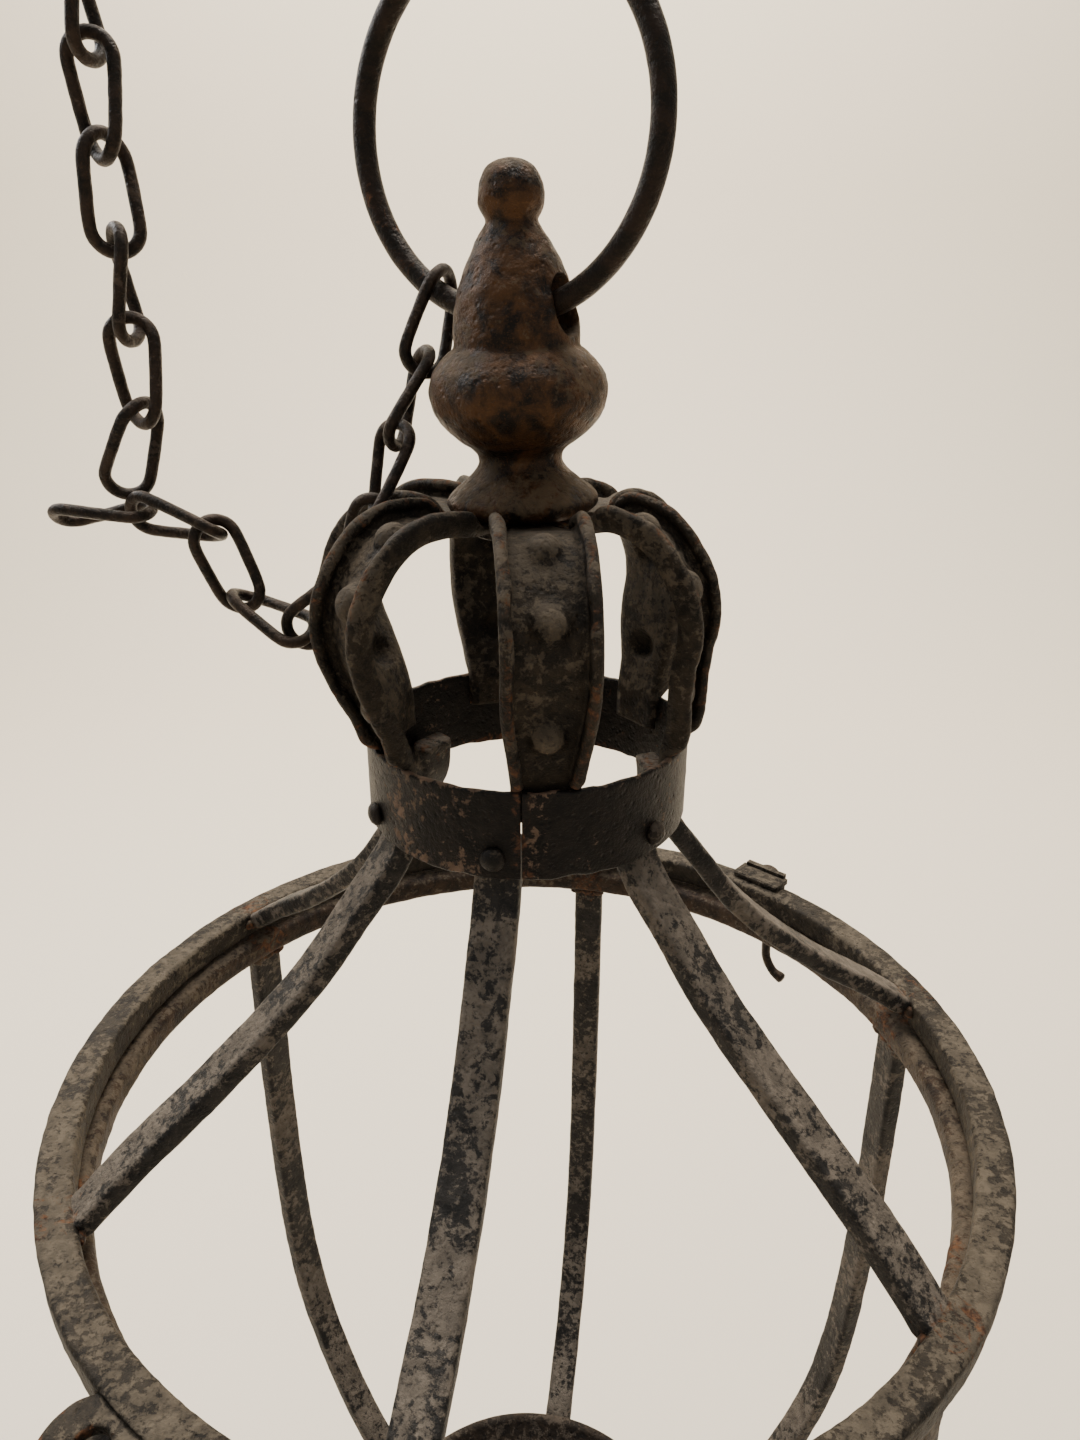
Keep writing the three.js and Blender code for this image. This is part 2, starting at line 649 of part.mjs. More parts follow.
// Lays links of equal length end to end along a route and returns the last bearing point.
function chainRun(group, start, route, firstNumber) {
  let from = start;
  route.forEach(([x, y, z, roll], i) => {
    const heading = new THREE.Vector3(x, y, z).sub(from).normalize();
    const to = from.clone().addScaledVector(heading, LINK_PITCH);
    const number = String(firstNumber + i).padStart(2, "0");
    chainLink(group, `chain_link_${number}`, from, to, roll);
    from = to;
  });
  return from;
}

function chainHook(group, at) {
  const points = [
    [0, 0, 1.6], [-3.4, 0, -0.6], [-3.2, 0, -4.2], [0.4, 0, -5.6], [3.6, 0, -3.4], [3.4, 0, 2], [1.2, 0, 7],
    [0.8, 0, 13], [2.6, 0, 17.6], [7, 0, 18.6], [10, 0, 15], [9, 0, 11.4],
  ];
  const path = new THREE.CatmullRomCurve3(points.map(([x, y, z]) => new THREE.Vector3(x, y, z)));
  const hook = wire(path, LINK_WIRE + 0.3, 26, 6);
  hook.rotateZ(THREE.MathUtils.degToRad(30));
  hook.translate(at.x, at.y, at.z + 4.2);
  add(group, "chain_hook", hook, MATERIALS.chain());
}

// Link 9 lies slack to the left: the link before it and the one after it both bear in its right-hand end.
function chain(group) {
  const end = chainRun(group, new THREE.Vector3(...CHAIN_START), CHAIN_ROUTE, 1);
  const slackFrom = end.clone().add(new THREE.Vector3(0, 0.35, 0.1));
  const slackTo = slackFrom.clone().add(new THREE.Vector3(-LINK_PITCH, -0.35, -0.8));
  chainLink(group, "chain_link_09", slackFrom, slackTo, 100);
  const riser = end.clone().add(new THREE.Vector3(-1.8, -0.2, 4.9));
  chainHook(group, chainRun(group, riser, RISER_ROUTE, 10));
}

// ---- assembly -----------------------------------------------------------------------------------

const model = new THREE.Group();
carryingRing(model);
chain(model);

const lantern = new THREE.Group();
lantern.position.set(AXIS_X, 0, COLLAR_TOP);
model.add(lantern);

finialGroup(lantern);
boltWasher(lantern);
boltNut(lantern);
STRAP_AZIMUTHS.forEach((azimuth, i) => crownStrap(lantern, azimuth, i + 1));
collar(lantern);
UPPER_BARS.forEach(([azimuth], i) => collarRivet(lantern, azimuth, i + 1));
UPPER_BARS.forEach((bar, i) => upperBar(lantern, bar, i + 1));
upperRing(lantern);
hingeEar(lantern, 1, "hinge_ear_upper");
hingeEar(lantern, -1, "hinge_ear_lower");
hingeLoop(lantern);
latchBracket(lantern);
latchRivet(lantern);
latchHook(lantern);

const basket = new THREE.Group();
const toHinge = THREE.MathUtils.degToRad(HINGE_AZIMUTH);
basket.position.set(
  AXIS_X + LOWER_SHIFT * Math.sin(toHinge),
  -LOWER_SHIFT * Math.cos(toHinge),
  COLLAR_TOP,
);
model.add(basket);
lowerRing(basket);
LOWER_BAR_AZIMUTHS.forEach((azimuth, i) => lowerBar(basket, azimuth, i + 1));
candlePan(basket);
latchStud(lantern);

export default model;
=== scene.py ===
"""A hanging candle lantern of bent and welded iron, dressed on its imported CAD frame.

Lengths below are millimetres in the lantern's own frame: heights are measured from the collar's upper
edge, azimuth 0 faces the front (-Y) and grows towards +X. point() turns them into metres in the row frame.
"""
import json
from math import atan2, cos, degrees, exp, hypot, pi, radians, sin, sqrt, tan

import bmesh
import bpy
from mathutils import Matrix, Vector, noise


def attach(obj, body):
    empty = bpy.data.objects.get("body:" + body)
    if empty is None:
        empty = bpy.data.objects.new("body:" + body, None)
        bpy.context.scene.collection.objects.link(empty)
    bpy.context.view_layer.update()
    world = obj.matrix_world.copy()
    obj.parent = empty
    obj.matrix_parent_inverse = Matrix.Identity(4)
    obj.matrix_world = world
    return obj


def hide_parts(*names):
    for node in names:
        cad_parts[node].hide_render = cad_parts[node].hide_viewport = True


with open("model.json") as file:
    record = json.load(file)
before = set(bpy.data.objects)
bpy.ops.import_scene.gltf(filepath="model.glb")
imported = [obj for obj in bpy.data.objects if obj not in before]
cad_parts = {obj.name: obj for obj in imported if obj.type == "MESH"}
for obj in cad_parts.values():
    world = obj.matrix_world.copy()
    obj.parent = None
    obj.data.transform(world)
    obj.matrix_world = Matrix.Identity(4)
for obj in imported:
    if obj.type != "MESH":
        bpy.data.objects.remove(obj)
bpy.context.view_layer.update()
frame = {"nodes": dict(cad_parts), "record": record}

MM = 0.001
# the lantern's axis and its collar's upper edge in the row frame, and the gap kept between touching pieces
AXIS_X, COLLAR_TOP, GAP = 3.8, -124.2, 0.3

RING_RADIUS, RING_WIRE, RING_YAW = 26.8, 3.84, 30.0
# the level line across the carrying ring, which the slot in the finial follows
RING_ACROSS = Vector((cos(radians(-RING_YAW)), sin(radians(-RING_YAW)), 0))

FINIAL_LEAN, FINIAL_OFFSET, FINIAL_FOOT = 2.06, -0.8, 40.3
SLOT_WIDTH, SLOT_LOW, SLOT_HIGH = 7.0, 69.0, 78.7
BOLT_ROOM, BOLT_TOP = 2.7, 55.0

STRAP_AZIMUTHS = (6, 68, 126, -166, -112, -55)
STRAP_WIDTH, STRAP_FOOT_WIDTH, STRAP_SHEET, STRAP_FLANGE = 16.0, 11.6, 1.2, 2.6
# half the angle that a strap may fill near the middle, and how far the crown bulges to the left
STRAP_SECTOR, CROWN_LEAN = 26.8, 3.0
# the height at which each bump sits, and its size
STRAP_BUMPS = ((38.8, 3.1), (29.5, 3.5), (10.3, 3.3))
BUMP_HEIGHT, STRAP_HEM = 2.1, 0.8

COLLAR_RADIUS, COLLAR_HEIGHT, COLLAR_SHEET, SEAM_AZIMUTH = 30.6, 16.5, 1.2, -2.0
SEAM_HALF_GAP = 0.12
RIVET_LEVEL, RIVET_ROOT = -12.4, 24.2
# where the collar has lost its dark skin: how far round from the seam, and how wide, in degrees
FLAKED = ((4, 5), (318, 15), (342, 9))

BAR_WIDTH, BAR_THICK = 8.2, 4.4
# each upper bar's azimuth, and how far its middle is sprung up
UPPER_BARS = ((-11, -1), (47, 9), (103, 3), (168, 2), (-128.5, 3), (-63.5, 6))
LOWER_BAR_AZIMUTHS = (-12, 46, 104, 168, -129, -70)

UPPER_RING = {"inner": 92.8, "outer": 99.8, "top": -79.5, "bottom": -86.0}
LOWER_RING = {"inner": 90.2, "outer": 98.0, "top": -87.0, "bottom": -93.6}
LOWER_SHIFT = 0.8
LOWER_BUTT_AZIMUTH = 60.0

PAN_RIM, PAN_BASE, PAN_SHEET = 50.5, -296.0, 1.4

HINGE_AZIMUTH, HINGE_AXIS, HINGE_LOOP, HINGE_WIRE = -38.0, 111.1, 8.0, 2.4
EAR_RADIUS, EAR_HOLE, EAR_THICK, EAR_LEVEL = 8.4, 2.9, 2.4, 3.2
# the height halfway between the rings, how far from it an ear's middle is, and how far out the ears stand
PARTING = -86.5
EAR_MIDDLE = EAR_LEVEL + EAR_THICK / 2
EAR_CENTRE = HINGE_AXIS - sqrt(HINGE_LOOP ** 2 - EAR_MIDDLE ** 2)

LATCH_AZIMUTH, HOOK_WIRE, HOOK_RADIUS, HOOK_PIVOT = 137.0, 2.6, 103.2, -81.1

# the twist is how far a link's two ends are turned against each other, in degrees
LINK_PITCH, LINK_WIRE, LINK_WIDTH, LINK_PLAY, LINK_TWIST = 13.2, 2.1, 9.6, 1.6, 50.0
CHAIN_START = (-10.4, 6.6, -46.7)
# the point that each link is headed for, and the link's roll
CHAIN_ROUTE = (
    (-14.1, 4.2, -59.1, 135), (-18.7, 0.2, -70.9, 90), (-22.5, -2.9, -83.1, 60), (-26.8, -4.8, -95.5, 30),
    (-36.4, -6, -104, 154), (-47.2, -0.5, -99.9, 75), (-51.9, -0.9, -87.6, 10), (-64.5, 1.3, -84.4, 135),
)
RISER_ROUTE = (
    (-61.4, -0.2, -67.4, 45), (-61.4, -0.4, -54, 163), (-61.4, -0.6, -41, 101), (-61.6, -0.3, -28, 39),
    (-61.8, 0, -15, 157), (-62, 0, -2, 95),
)
# the slack link and the riser both start near the end of CHAIN_ROUTE
SLACK_START, SLACK_REACH, SLACK_ROLL = (0, 0.35, 0.1), (-LINK_PITCH, -0.35, -0.8), 100
RISER_START = (-1.8, -0.2, 4.9)
CHAIN_HOOK_WIRE, CHAIN_HOOK_LIFT, CHAIN_HOOK_YAW = LINK_WIRE + 0.3, 4.2, 30


# ---- camera, light and floor --------------------------------------------------------------------

# places and sizes here are metres in the row frame
CAMERA_AT = (0.0038, -0.180, -0.04868)
CAMERA_YAW, CAMERA_PITCH, CAMERA_ROLL = radians(0.76), radians(22.65), radians(0.28)
CAMERA_LENS, CAMERA_SENSOR, CAMERA_NEAR = 25.45, 36.0, 0.01

FLOOR_COLOR, FLOOR_ROUGHNESS = (0.90, 0.81, 0.67, 1), 0.9
SKY_COLOR, SKY_STRENGTH = (0.97, 0.96, 0.94, 1), 0.52
# each lamp's name, place, aim, size, power and colour
LAMPS = (
    ("wall_wash", (0, 1.2, 2.4), (0, 3.2, 0.2), 2.5, 205, (1.0, 0.93, 0.83)),
    ("window", (-1.2, 0.75, 0.75), (0, 0, -0.2), 0.9, 16, (0.95, 0.97, 1.0)),
    ("ceiling", (0.1, 0.3, 1.5), (0, 0, -0.2), 1.2, 9, (1.0, 0.98, 0.95)),
)


def make_camera():
    data = bpy.data.cameras.new("camera")
    data.sensor_width = CAMERA_SENSOR
    data.lens = CAMERA_LENS
    data.clip_start = CAMERA_NEAR
    reach = cos(CAMERA_PITCH)
    forward = Vector((sin(CAMERA_YAW) * reach, cos(CAMERA_YAW) * reach, -sin(CAMERA_PITCH)))
    level = Vector((cos(CAMERA_YAW), -sin(CAMERA_YAW), 0))
    rise = level.cross(forward)
    right = level * cos(CAMERA_ROLL) + rise * sin(CAMERA_ROLL)
    up = rise * cos(CAMERA_ROLL) - level * sin(CAMERA_ROLL)
    camera = bpy.data.objects.new("camera", data)
    turn = Matrix((right, up, -forward)).transposed().to_4x4()
    camera.matrix_world = Matrix.Translation(CAMERA_AT) @ turn
    bpy.context.collection.objects.link(camera)
    bpy.context.scene.camera = camera


def area_light(name, at, aim, size, power, color):
    data = bpy.data.lights.new(name, "AREA")
    data.shape = "DISK"
    data.size = size
    data.energy = power
    data.color = color
    lamp = bpy.data.objects.new(name, data)
    lamp.location = at
    lamp.rotation_euler = (Vector(aim) - Vector(at)).to_track_quat("-Z", "Y").to_euler()
    bpy.context.collection.objects.link(lamp)


def make_stage():
    """A floor that curves up into a wall far behind the lantern, all one pale colour."""
    half, level, back, top = 9.0, -0.95, 3.2, 6.0
    sweep, steps = 1.2, 12
    profile = [(-half, level), (back - sweep, level)]
    for k in range(1, steps + 1):
        a = radians(90 * k / steps)
        profile.append((back - sweep + sweep * sin(a), level + sweep - sweep * cos(a)))
    profile.append((back, top))
    verts = [(x, y, z) for y, z in profile for x in (-half, half)]
    faces = [(2 * i, 2 * i + 1, 2 * i + 3, 2 * i + 2) for i in range(len(profile) - 1)]
    mesh = bpy.data.meshes.new("floor")
    mesh.from_pydata(verts, [], faces)
    mesh.polygons.foreach_set("use_smooth", [True] * len(mesh.polygons))
    floor = bpy.data.objects.new("floor", mesh)
    bpy.context.collection.objects.link(floor)
    material = bpy.data.materials.new("floor_paint")
    material.use_nodes = True
    shader = material.node_tree.nodes["Principled BSDF"]
    shader.inputs["Base Color"].default_value = FLOOR_COLOR
    shader.inputs["Roughness"].default_value = FLOOR_ROUGHNESS
    floor.data.materials.append(material)
    world = bpy.data.worlds.new("studio")
    world.use_nodes = True
    sky = world.node_tree.nodes["Background"]
    sky.inputs["Color"].default_value = SKY_COLOR
    sky.inputs["Strength"].default_value = SKY_STRENGTH
    bpy.context.scene.world = world
    for lamp in LAMPS:
        area_light(*lamp)


# ---- placing --------------------------------------------------------------------------------------

def point(r, z, azimuth, aside=0.0):
    """A point in the lantern's own frame, as metres in the row frame."""
    a = radians(azimuth)
    return Vector((AXIS_X + r * sin(a) + aside * cos(a), -r * cos(a) + aside * sin(a), z + COLLAR_TOP)) * MM


STILL = Vector((0, 0, 0))
# the basket sits a little towards the hinge
BASKET_MOVE = Vector((sin(radians(HINGE_AZIMUTH)), -cos(radians(HINGE_AZIMUTH)), 0)) * LOWER_SHIFT * MM


def grain(p, size, seed):
    """Smooth noise from about -1 to 1 whose lumps are size millimetres across; p is in metres."""
    return noise.noise(p / (size * MM) + Vector((seed, seed * 1.7, seed * 0.6)))


def smooth(low, high, value):
    """0 at low, 1 at high and an S-curve between them."""
    t = min(max((value - low) / (high - low), 0.0), 1.0)
    return t * t * (3 - 2 * t)


def apart(azimuth, other):
    """The angle between two azimuths, in degrees."""
    return abs((azimuth - other + 180) % 360 - 180)


def spline(points, steps, closed=False):
    """A smooth route of evenly spaced points through the given ones (centripetal Catmull-Rom)."""
    knots = [Vector(p) for p in points]
    count = len(knots)
    per_span = 16
    dense = []
    spans = count if closed else count - 1
    for i in range(spans):
        if closed:
            p0, p1, p2, p3 = (knots[(i + k - 1) % count] for k in range(4))
        else:
            p1, p2 = knots[i], knots[i + 1]
            p0 = knots[i - 1] if i else p1 * 2 - p2
            p3 = knots[i + 2] if i + 2 < count else p2 * 2 - p1
        t0 = 0.0
        t1 = t0 + max(sqrt((p1 - p0).length), 1e-6)
        t2 = t1 + max(sqrt((p2 - p1).length), 1e-6)
        t3 = t2 + max(sqrt((p3 - p2).length), 1e-6)
        for k in range(per_span):
            t = t1 + (t2 - t1) * k / per_span
            a1 = p0 * ((t1 - t) / (t1 - t0)) + p1 * ((t - t0) / (t1 - t0))
            a2 = p1 * ((t2 - t) / (t2 - t1)) + p2 * ((t - t1) / (t2 - t1))
            a3 = p2 * ((t3 - t) / (t3 - t2)) + p3 * ((t - t2) / (t3 - t2))
            b1 = a1 * ((t2 - t) / (t2 - t0)) + a2 * ((t - t0) / (t2 - t0))
            b2 = a2 * ((t3 - t) / (t3 - t1)) + a3 * ((t - t1) / (t3 - t1))
            dense.append(b1 * ((t2 - t) / (t2 - t1)) + b2 * ((t - t1) / (t2 - t1)))
    dense.append(knots[0] if closed else knots[-1])
    lengths = [0.0]
    for a, b in zip(dense, dense[1:]):
        lengths.append(lengths[-1] + (b - a).length)
    route, j = [], 0
    for i in range(steps if closed else steps + 1):
        want = lengths[-1] * i / steps
        while j < len(dense) - 2 and lengths[j + 1] < want:
            j += 1
        span = max(lengths[j + 1] - lengths[j], 1e-9)
        route.append(dense[j].lerp(dense[j + 1], (want - lengths[j]) / span))
    return route


def curve2(points, steps, closed=False):
    """The same for points in a plane, as pairs."""
    return [(p[0], p[1]) for p in spline([(x, y, 0) for x, y in points], steps, closed)]


# ---- mesh building --------------------------------------------------------------------------------

def skin(name, rows, closed=False, rust=None):
    """Joins rows of points, each a closed loop, into a solid.

    rust is a function of (row, column, point) that says how rusty the skin is there, from 0 to 1.
    """
    across, count = len(rows[0]), len(rows)
    verts = [p for row in rows for p in row]
    faces = []
    for i in range(count if closed else count - 1):
        a, b = i * across, ((i + 1) % count) * across
        faces += [(a + j, a + (j + 1) % across, b + (j + 1) % across, b + j) for j in range(across)]
    if not closed:
        faces += [tuple(reversed(range(across))), tuple(range((count - 1) * across, count * across))]
    mesh = bpy.data.meshes.new(name)
    mesh.from_pydata(verts, [], faces)
    layer = mesh.attributes.new("rust", "FLOAT", "POINT")
    if rust:
        for i in range(count):
            for j in range(across):
                layer.data[i * across + j].value = rust(i, j, verts[i * across + j])
    return shaped(name, mesh)


def shaped(name, mesh):
    mesh.polygons.foreach_set("use_smooth", [True] * len(mesh.polygons))
    piece = bpy.data.objects.new(name, mesh)
    bpy.context.collection.objects.link(piece)
    return piece


def outward(piece):
    """Turns the faces of a closed piece outwards."""
    bm = bmesh.new()
    bm.from_mesh(piece.data)
    bmesh.ops.recalc_face_normals(bm, faces=bm.faces)
    bm.to_mesh(piece.data)
    bm.free()
    return piece


def dress(piece, body, material, slot, *nodes):
    """Gives a piece its material, parents it to the body it rides on and hides the CAD nodes it stands for.
    """
    outward(piece)
    piece.data.materials.append(material)
    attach(piece, body)
    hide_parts(*nodes)


def rounded(width, height, radius, per_corner):
    """The outline of a rounded rectangle round the origin."""
    loop = []
    for cx, cy, start in ((1, 1, 0), (-1, 1, 90), (-1, -1, 180), (1, -1, 270)):
        for k in range(per_corner + 1):
            a = radians(start + 90 * k / per_corner)
            x = cx * (width / 2 - radius) + radius * cos(a)
            y = cy * (height / 2 - radius) + radius * sin(a)
            loop.append((x, y))
    return loop


def refine(loop, spacing):
    """Adds points to the long sides of an outline."""
    out = []
    for (x0, y0), (x1, y1) in zip(loop, loop[1:] + loop[:1]):
        n = max(1, int(hypot(x1 - x0, y1 - y0) / spacing))
        out += [(x0 + (x1 - x0) * k / n, y0 + (y1 - y0) * k / n) for k in range(n)]
    return out


# a wire's domed end: how wide each step is, and how many radii out it lies
DOME_STEPS = ((0.86, 0.3), (0.5, 0.52))


def tube(name, path, radius, sides, closed, lumps, seed, radius_at=None, rust=None):
    """A round wire along a path in metres, with a slightly uneven skin and domed ends where it is open."""
    count = len(path)
    rows, normal = [], None
    for i, p in enumerate(path):
        before = path[i - 1] if closed or i else p
        after = path[(i + 1) % count] if closed or i + 1 < count else p
        along = (after - before).normalized()
        if normal is None:
            normal = along.orthogonal().normalized()
        normal = (normal - along * normal.dot(along)).normalized()
        rows.append((p, along, normal.copy()))
    twist = 0.0
    if closed:
        along, last = rows[0][1], rows[-1][2]
        last = (last - along * last.dot(along)).normalized()
        first = rows[0][2]
        twist = atan2(last.cross(first).dot(along), last.dot(first))
    loops = []
    for i, (p, along, normal) in enumerate(rows):
        side = along.cross(normal)
        r = radius * (radius_at(i / (count - 1)) if radius_at else 1.0)
        turn = twist * i / count
        loop = []
        for k in range(sides):
            a = 2 * pi * k / sides + turn
            spoke = normal * cos(a) + side * sin(a)
            q = p + spoke * r * MM
            loop.append(q + spoke * lumps * MM * (grain(q, 2.2, seed) + 0.6 * grain(q, 0.9, seed + 5)))
        loops.append(loop)
    if not closed:
        for end, away in ((0, -1), (-1, 1)):
            centre, along = rows[end][0], rows[end][1] * away
            base = loops[end]
            for scale, reach in DOME_STEPS:
                cap = [centre + (q - centre) * scale + along * radius * reach * MM for q in base]
                loops.insert(0 if end == 0 else len(loops), cap)
    return skin(name, loops, closed, rust)


def band(name, outline, azimuths, closed, centre, lumps, seed, rust, shape):
    """An outline in the (radius, height) plane carried round the cage's axis, with a forged skin.

    shape is a function of (azimuth, radius, height) that says how far the skin is pushed out there.
    """
    rows = []
    middle_r = sum(r for r, _ in outline) / len(outline)
    middle_z = sum(z for _, z in outline) / len(outline)
    for azimuth in azimuths:
        row = []
        for r, z in outline:
            out = Vector((r - middle_r, z - middle_z)).normalized()
            p = point(r, z, azimuth) + centre
            uneven = grain(p, 7, seed) + 0.7 * grain(p, 2.6, seed + 3) + 0.35 * grain(p, 1.1, seed + 8)
            push = lumps * uneven + shape(azimuth, r, z)
            row.append(point(r + out.x * push, z + out.y * push, azimuth) + centre)
        rows.append(row)
    return skin(name, rows, closed, rust)


def strip(name, curve, azimuth, section, seed, lumps, centre, rust):
    """Carries a section, points (aside, out) that may change along the way, along a radius-height curve."""
    rows = []
    count = len(curve)
    for i, (r, z) in enumerate(curve):
        r0, z0 = curve[max(i - 1, 0)]
        r1, z1 = curve[min(i + 1, count - 1)]
        length = hypot(r1 - r0, z1 - z0)
        out_r, out_z = -(z1 - z0) / length, (r1 - r0) / length
        row = []
        for aside, out in section(i, r, z):
            p = point(r + out_r * out, z + out_z * out, azimuth, aside) + centre
            push = Vector((aside / 4, out)).normalized() * lumps
            dent = grain(p, 6, seed) + 0.7 * grain(p, 2.4, seed + 3) + 0.4 * grain(p, 1.0, seed + 7)
            q = out + push.y * dent
            row.append(point(r + out_r * q, z + out_z * q, azimuth, aside + push.x * dent) + centre)
        rows.append(row)
    return skin(name, rows, False, rust)


def paint_flakes(piece, values):
    """Writes how far each vertex has lost its dark skin, from 0 to 1. iron() lays dust there."""
    layer = piece.data.attributes.new("flakes", "FLOAT", "POINT")
    layer.data.foreach_set("value", values)


# ---- materials ------------------------------------------------------------------------------------

class Nodes:
    """Short-hand for building one material's node tree."""

    def __init__(self, name):
        self.material = bpy.data.materials.new(name)
        self.material.use_nodes = True
        self.tree = self.material.node_tree
        self.shader = self.tree.nodes["Principled BSDF"]
        self.coords = self.tree.nodes.new("ShaderNodeTexCoord")

    def link(self, value, socket):
        if isinstance(value, bpy.types.NodeSocket):
            self.tree.links.new(value, socket)
        else:
            socket.default_value = value

    def noise(self, scale, detail, rough=0.55, warp=0.0):
        node = self.tree.nodes.new("ShaderNodeTexNoise")
        self.link(self.coords.outputs["Object"], node.inputs["Vector"])
        settings = {"Scale": scale, "Detail": detail, "Roughness": rough, "Distortion": warp}
        for key, value in settings.items():
            node.inputs[key].default_value = value
        return node.outputs["Fac"]

    def cells(self, scale):
        node = self.tree.nodes.new("ShaderNodeTexVoronoi")
        self.link(self.coords.outputs["Object"], node.inputs["Vector"])
        node.inputs["Scale"].default_value = scale
        return node.outputs["Distance"]

    def math(self, kind, a, b):
        node = self.tree.nodes.new("ShaderNodeMath")
        node.operation = kind
        self.link(a, node.inputs[0])
        self.link(b, node.inputs[1])
        return node.outputs[0]

    def plus(self, a, b):
        return self.math("ADD", a, b)

    def times(self, a, b):
        return self.math("MULTIPLY", a, b)

    def ramp(self, value, low, high):
        node = self.tree.nodes.new("ShaderNodeMapRange")
        node.interpolation_type = "SMOOTHSTEP"
        self.link(value, node.inputs["Value"])
        node.inputs["From Min"].default_value = low
        node.inputs["From Max"].default_value = high
        return node.outputs["Result"]

    def mix(self, factor, a, b):
        node = self.tree.nodes.new("ShaderNodeMix")
        node.data_type = "RGBA"
        self.link(factor, node.inputs["Factor"])
        self.link((*a, 1) if isinstance(a, tuple) else a, node.inputs[6])
        self.link((*b, 1) if isinstance(b, tuple) else b, node.inputs[7])
        return node.outputs[2]

    def upward(self):
        node = self.tree.nodes.new("ShaderNodeSeparateXYZ")
        self.link(self.coords.outputs["Normal"], node.inputs[0])
        return node.outputs["Z"]

    def painted(self, name):
        node = self.tree.nodes.new("ShaderNodeAttribute")
        node.attribute_name = name
        return node.outputs["Fac"]

    def bump(self, heights, distance):
        """heights: (value, strength) pairs, coarse first."""
        last = None
        for value, strength in heights:
            node = self.tree.nodes.new("ShaderNodeBump")
            node.inputs["Strength"].default_value = strength
            node.inputs["Distance"].default_value = distance
            self.link(value, node.inputs["Height"])
            if last:
                self.link(last, node.inputs["Normal"])
            last = node.outputs["Normal"]
        self.link(last, self.shader.inputs["Normal"])


RUST_DARK, RUST_LIGHT = (0.045, 0.02, 0.011), (0.15, 0.062, 0.026)
IRON_SPECULAR, RELIEF = 0.27, 0.0006


def iron(name, dark, brown, dust, dusty, rusty, rough, pitted):
    """Old iron: a dark skin mottled with brown, chipped dusty patches on top, and a little rust.

    The noises' scales are in lumps to the metre.
    """
    n = Nodes(name)
    broad = n.noise(55, 4)
    patch = n.noise(240, 6, 0.65, 0.5)
    fine = n.noise(950, 5)
    speck = n.noise(3400, 3)
    chips = n.noise(520, 9, 0.72, 0.25)
    mottled = n.mix(n.ramp(patch, 0.36, 0.64), dark, brown)
    light_brown = tuple(c * 1.8 for c in brown)
    surface = n.mix(n.times(n.ramp(speck, 0.52, 0.74), 0.4), mottled, light_brown)
    lay = n.plus(n.times(n.upward(), 0.10), n.times(broad, 0.65))
    lay = n.plus(lay, n.times(chips, 0.85))
    lay = n.plus(lay, n.times(n.painted("flakes"), 0.16))
    edge = 0.75 + (0.5 - dusty) * 0.36
    dust_mask = n.times(n.ramp(lay, edge - 0.015, edge + 0.05), n.ramp(fine, 0.2, 0.5))
    dust_tone = n.mix(n.ramp(patch, 0.4, 0.62), tuple(c * 0.62 for c in dust), dust)
    surface = n.mix(n.times(dust_mask, 0.88), surface, dust_tone)
    spots = n.plus(n.times(n.painted("rust"), 0.30), n.noise(330, 7, 0.72, 0.8))
    rust_mask = n.ramp(spots, 0.86 - 0.36 * rusty, 0.98 - 0.32 * rusty)
    rust_tone = n.mix(n.ramp(fine, 0.35, 0.65), RUST_DARK, RUST_LIGHT)
    surface = n.mix(n.times(rust_mask, 0.8), surface, rust_tone)
    n.link(surface, n.shader.inputs["Base Color"])
    n.shader.inputs["Specular IOR Level"].default_value = IRON_SPECULAR
    gloss = n.plus(rough - 0.12, n.times(dust_mask, 0.28))
    gloss = n.plus(gloss, n.times(rust_mask, 0.28))
    gloss = n.plus(gloss, n.times(fine, 0.22))
    n.link(n.math("MINIMUM", gloss, 0.97), n.shader.inputs["Roughness"])
    covered = n.math("MAXIMUM", dust_mask, rust_mask)
    n.link(n.math("SUBTRACT", 0.5, n.times(covered, 0.48)), n.shader.inputs["Metallic"])
    pits = n.times(n.ramp(n.cells(620), 0.0, 0.34), pitted)
    n.bump(((patch, 0.35), (pits, 0.5), (dust_mask, 0.3), (fine, 0.45), (speck, 0.3)), RELIEF)
    return n.material


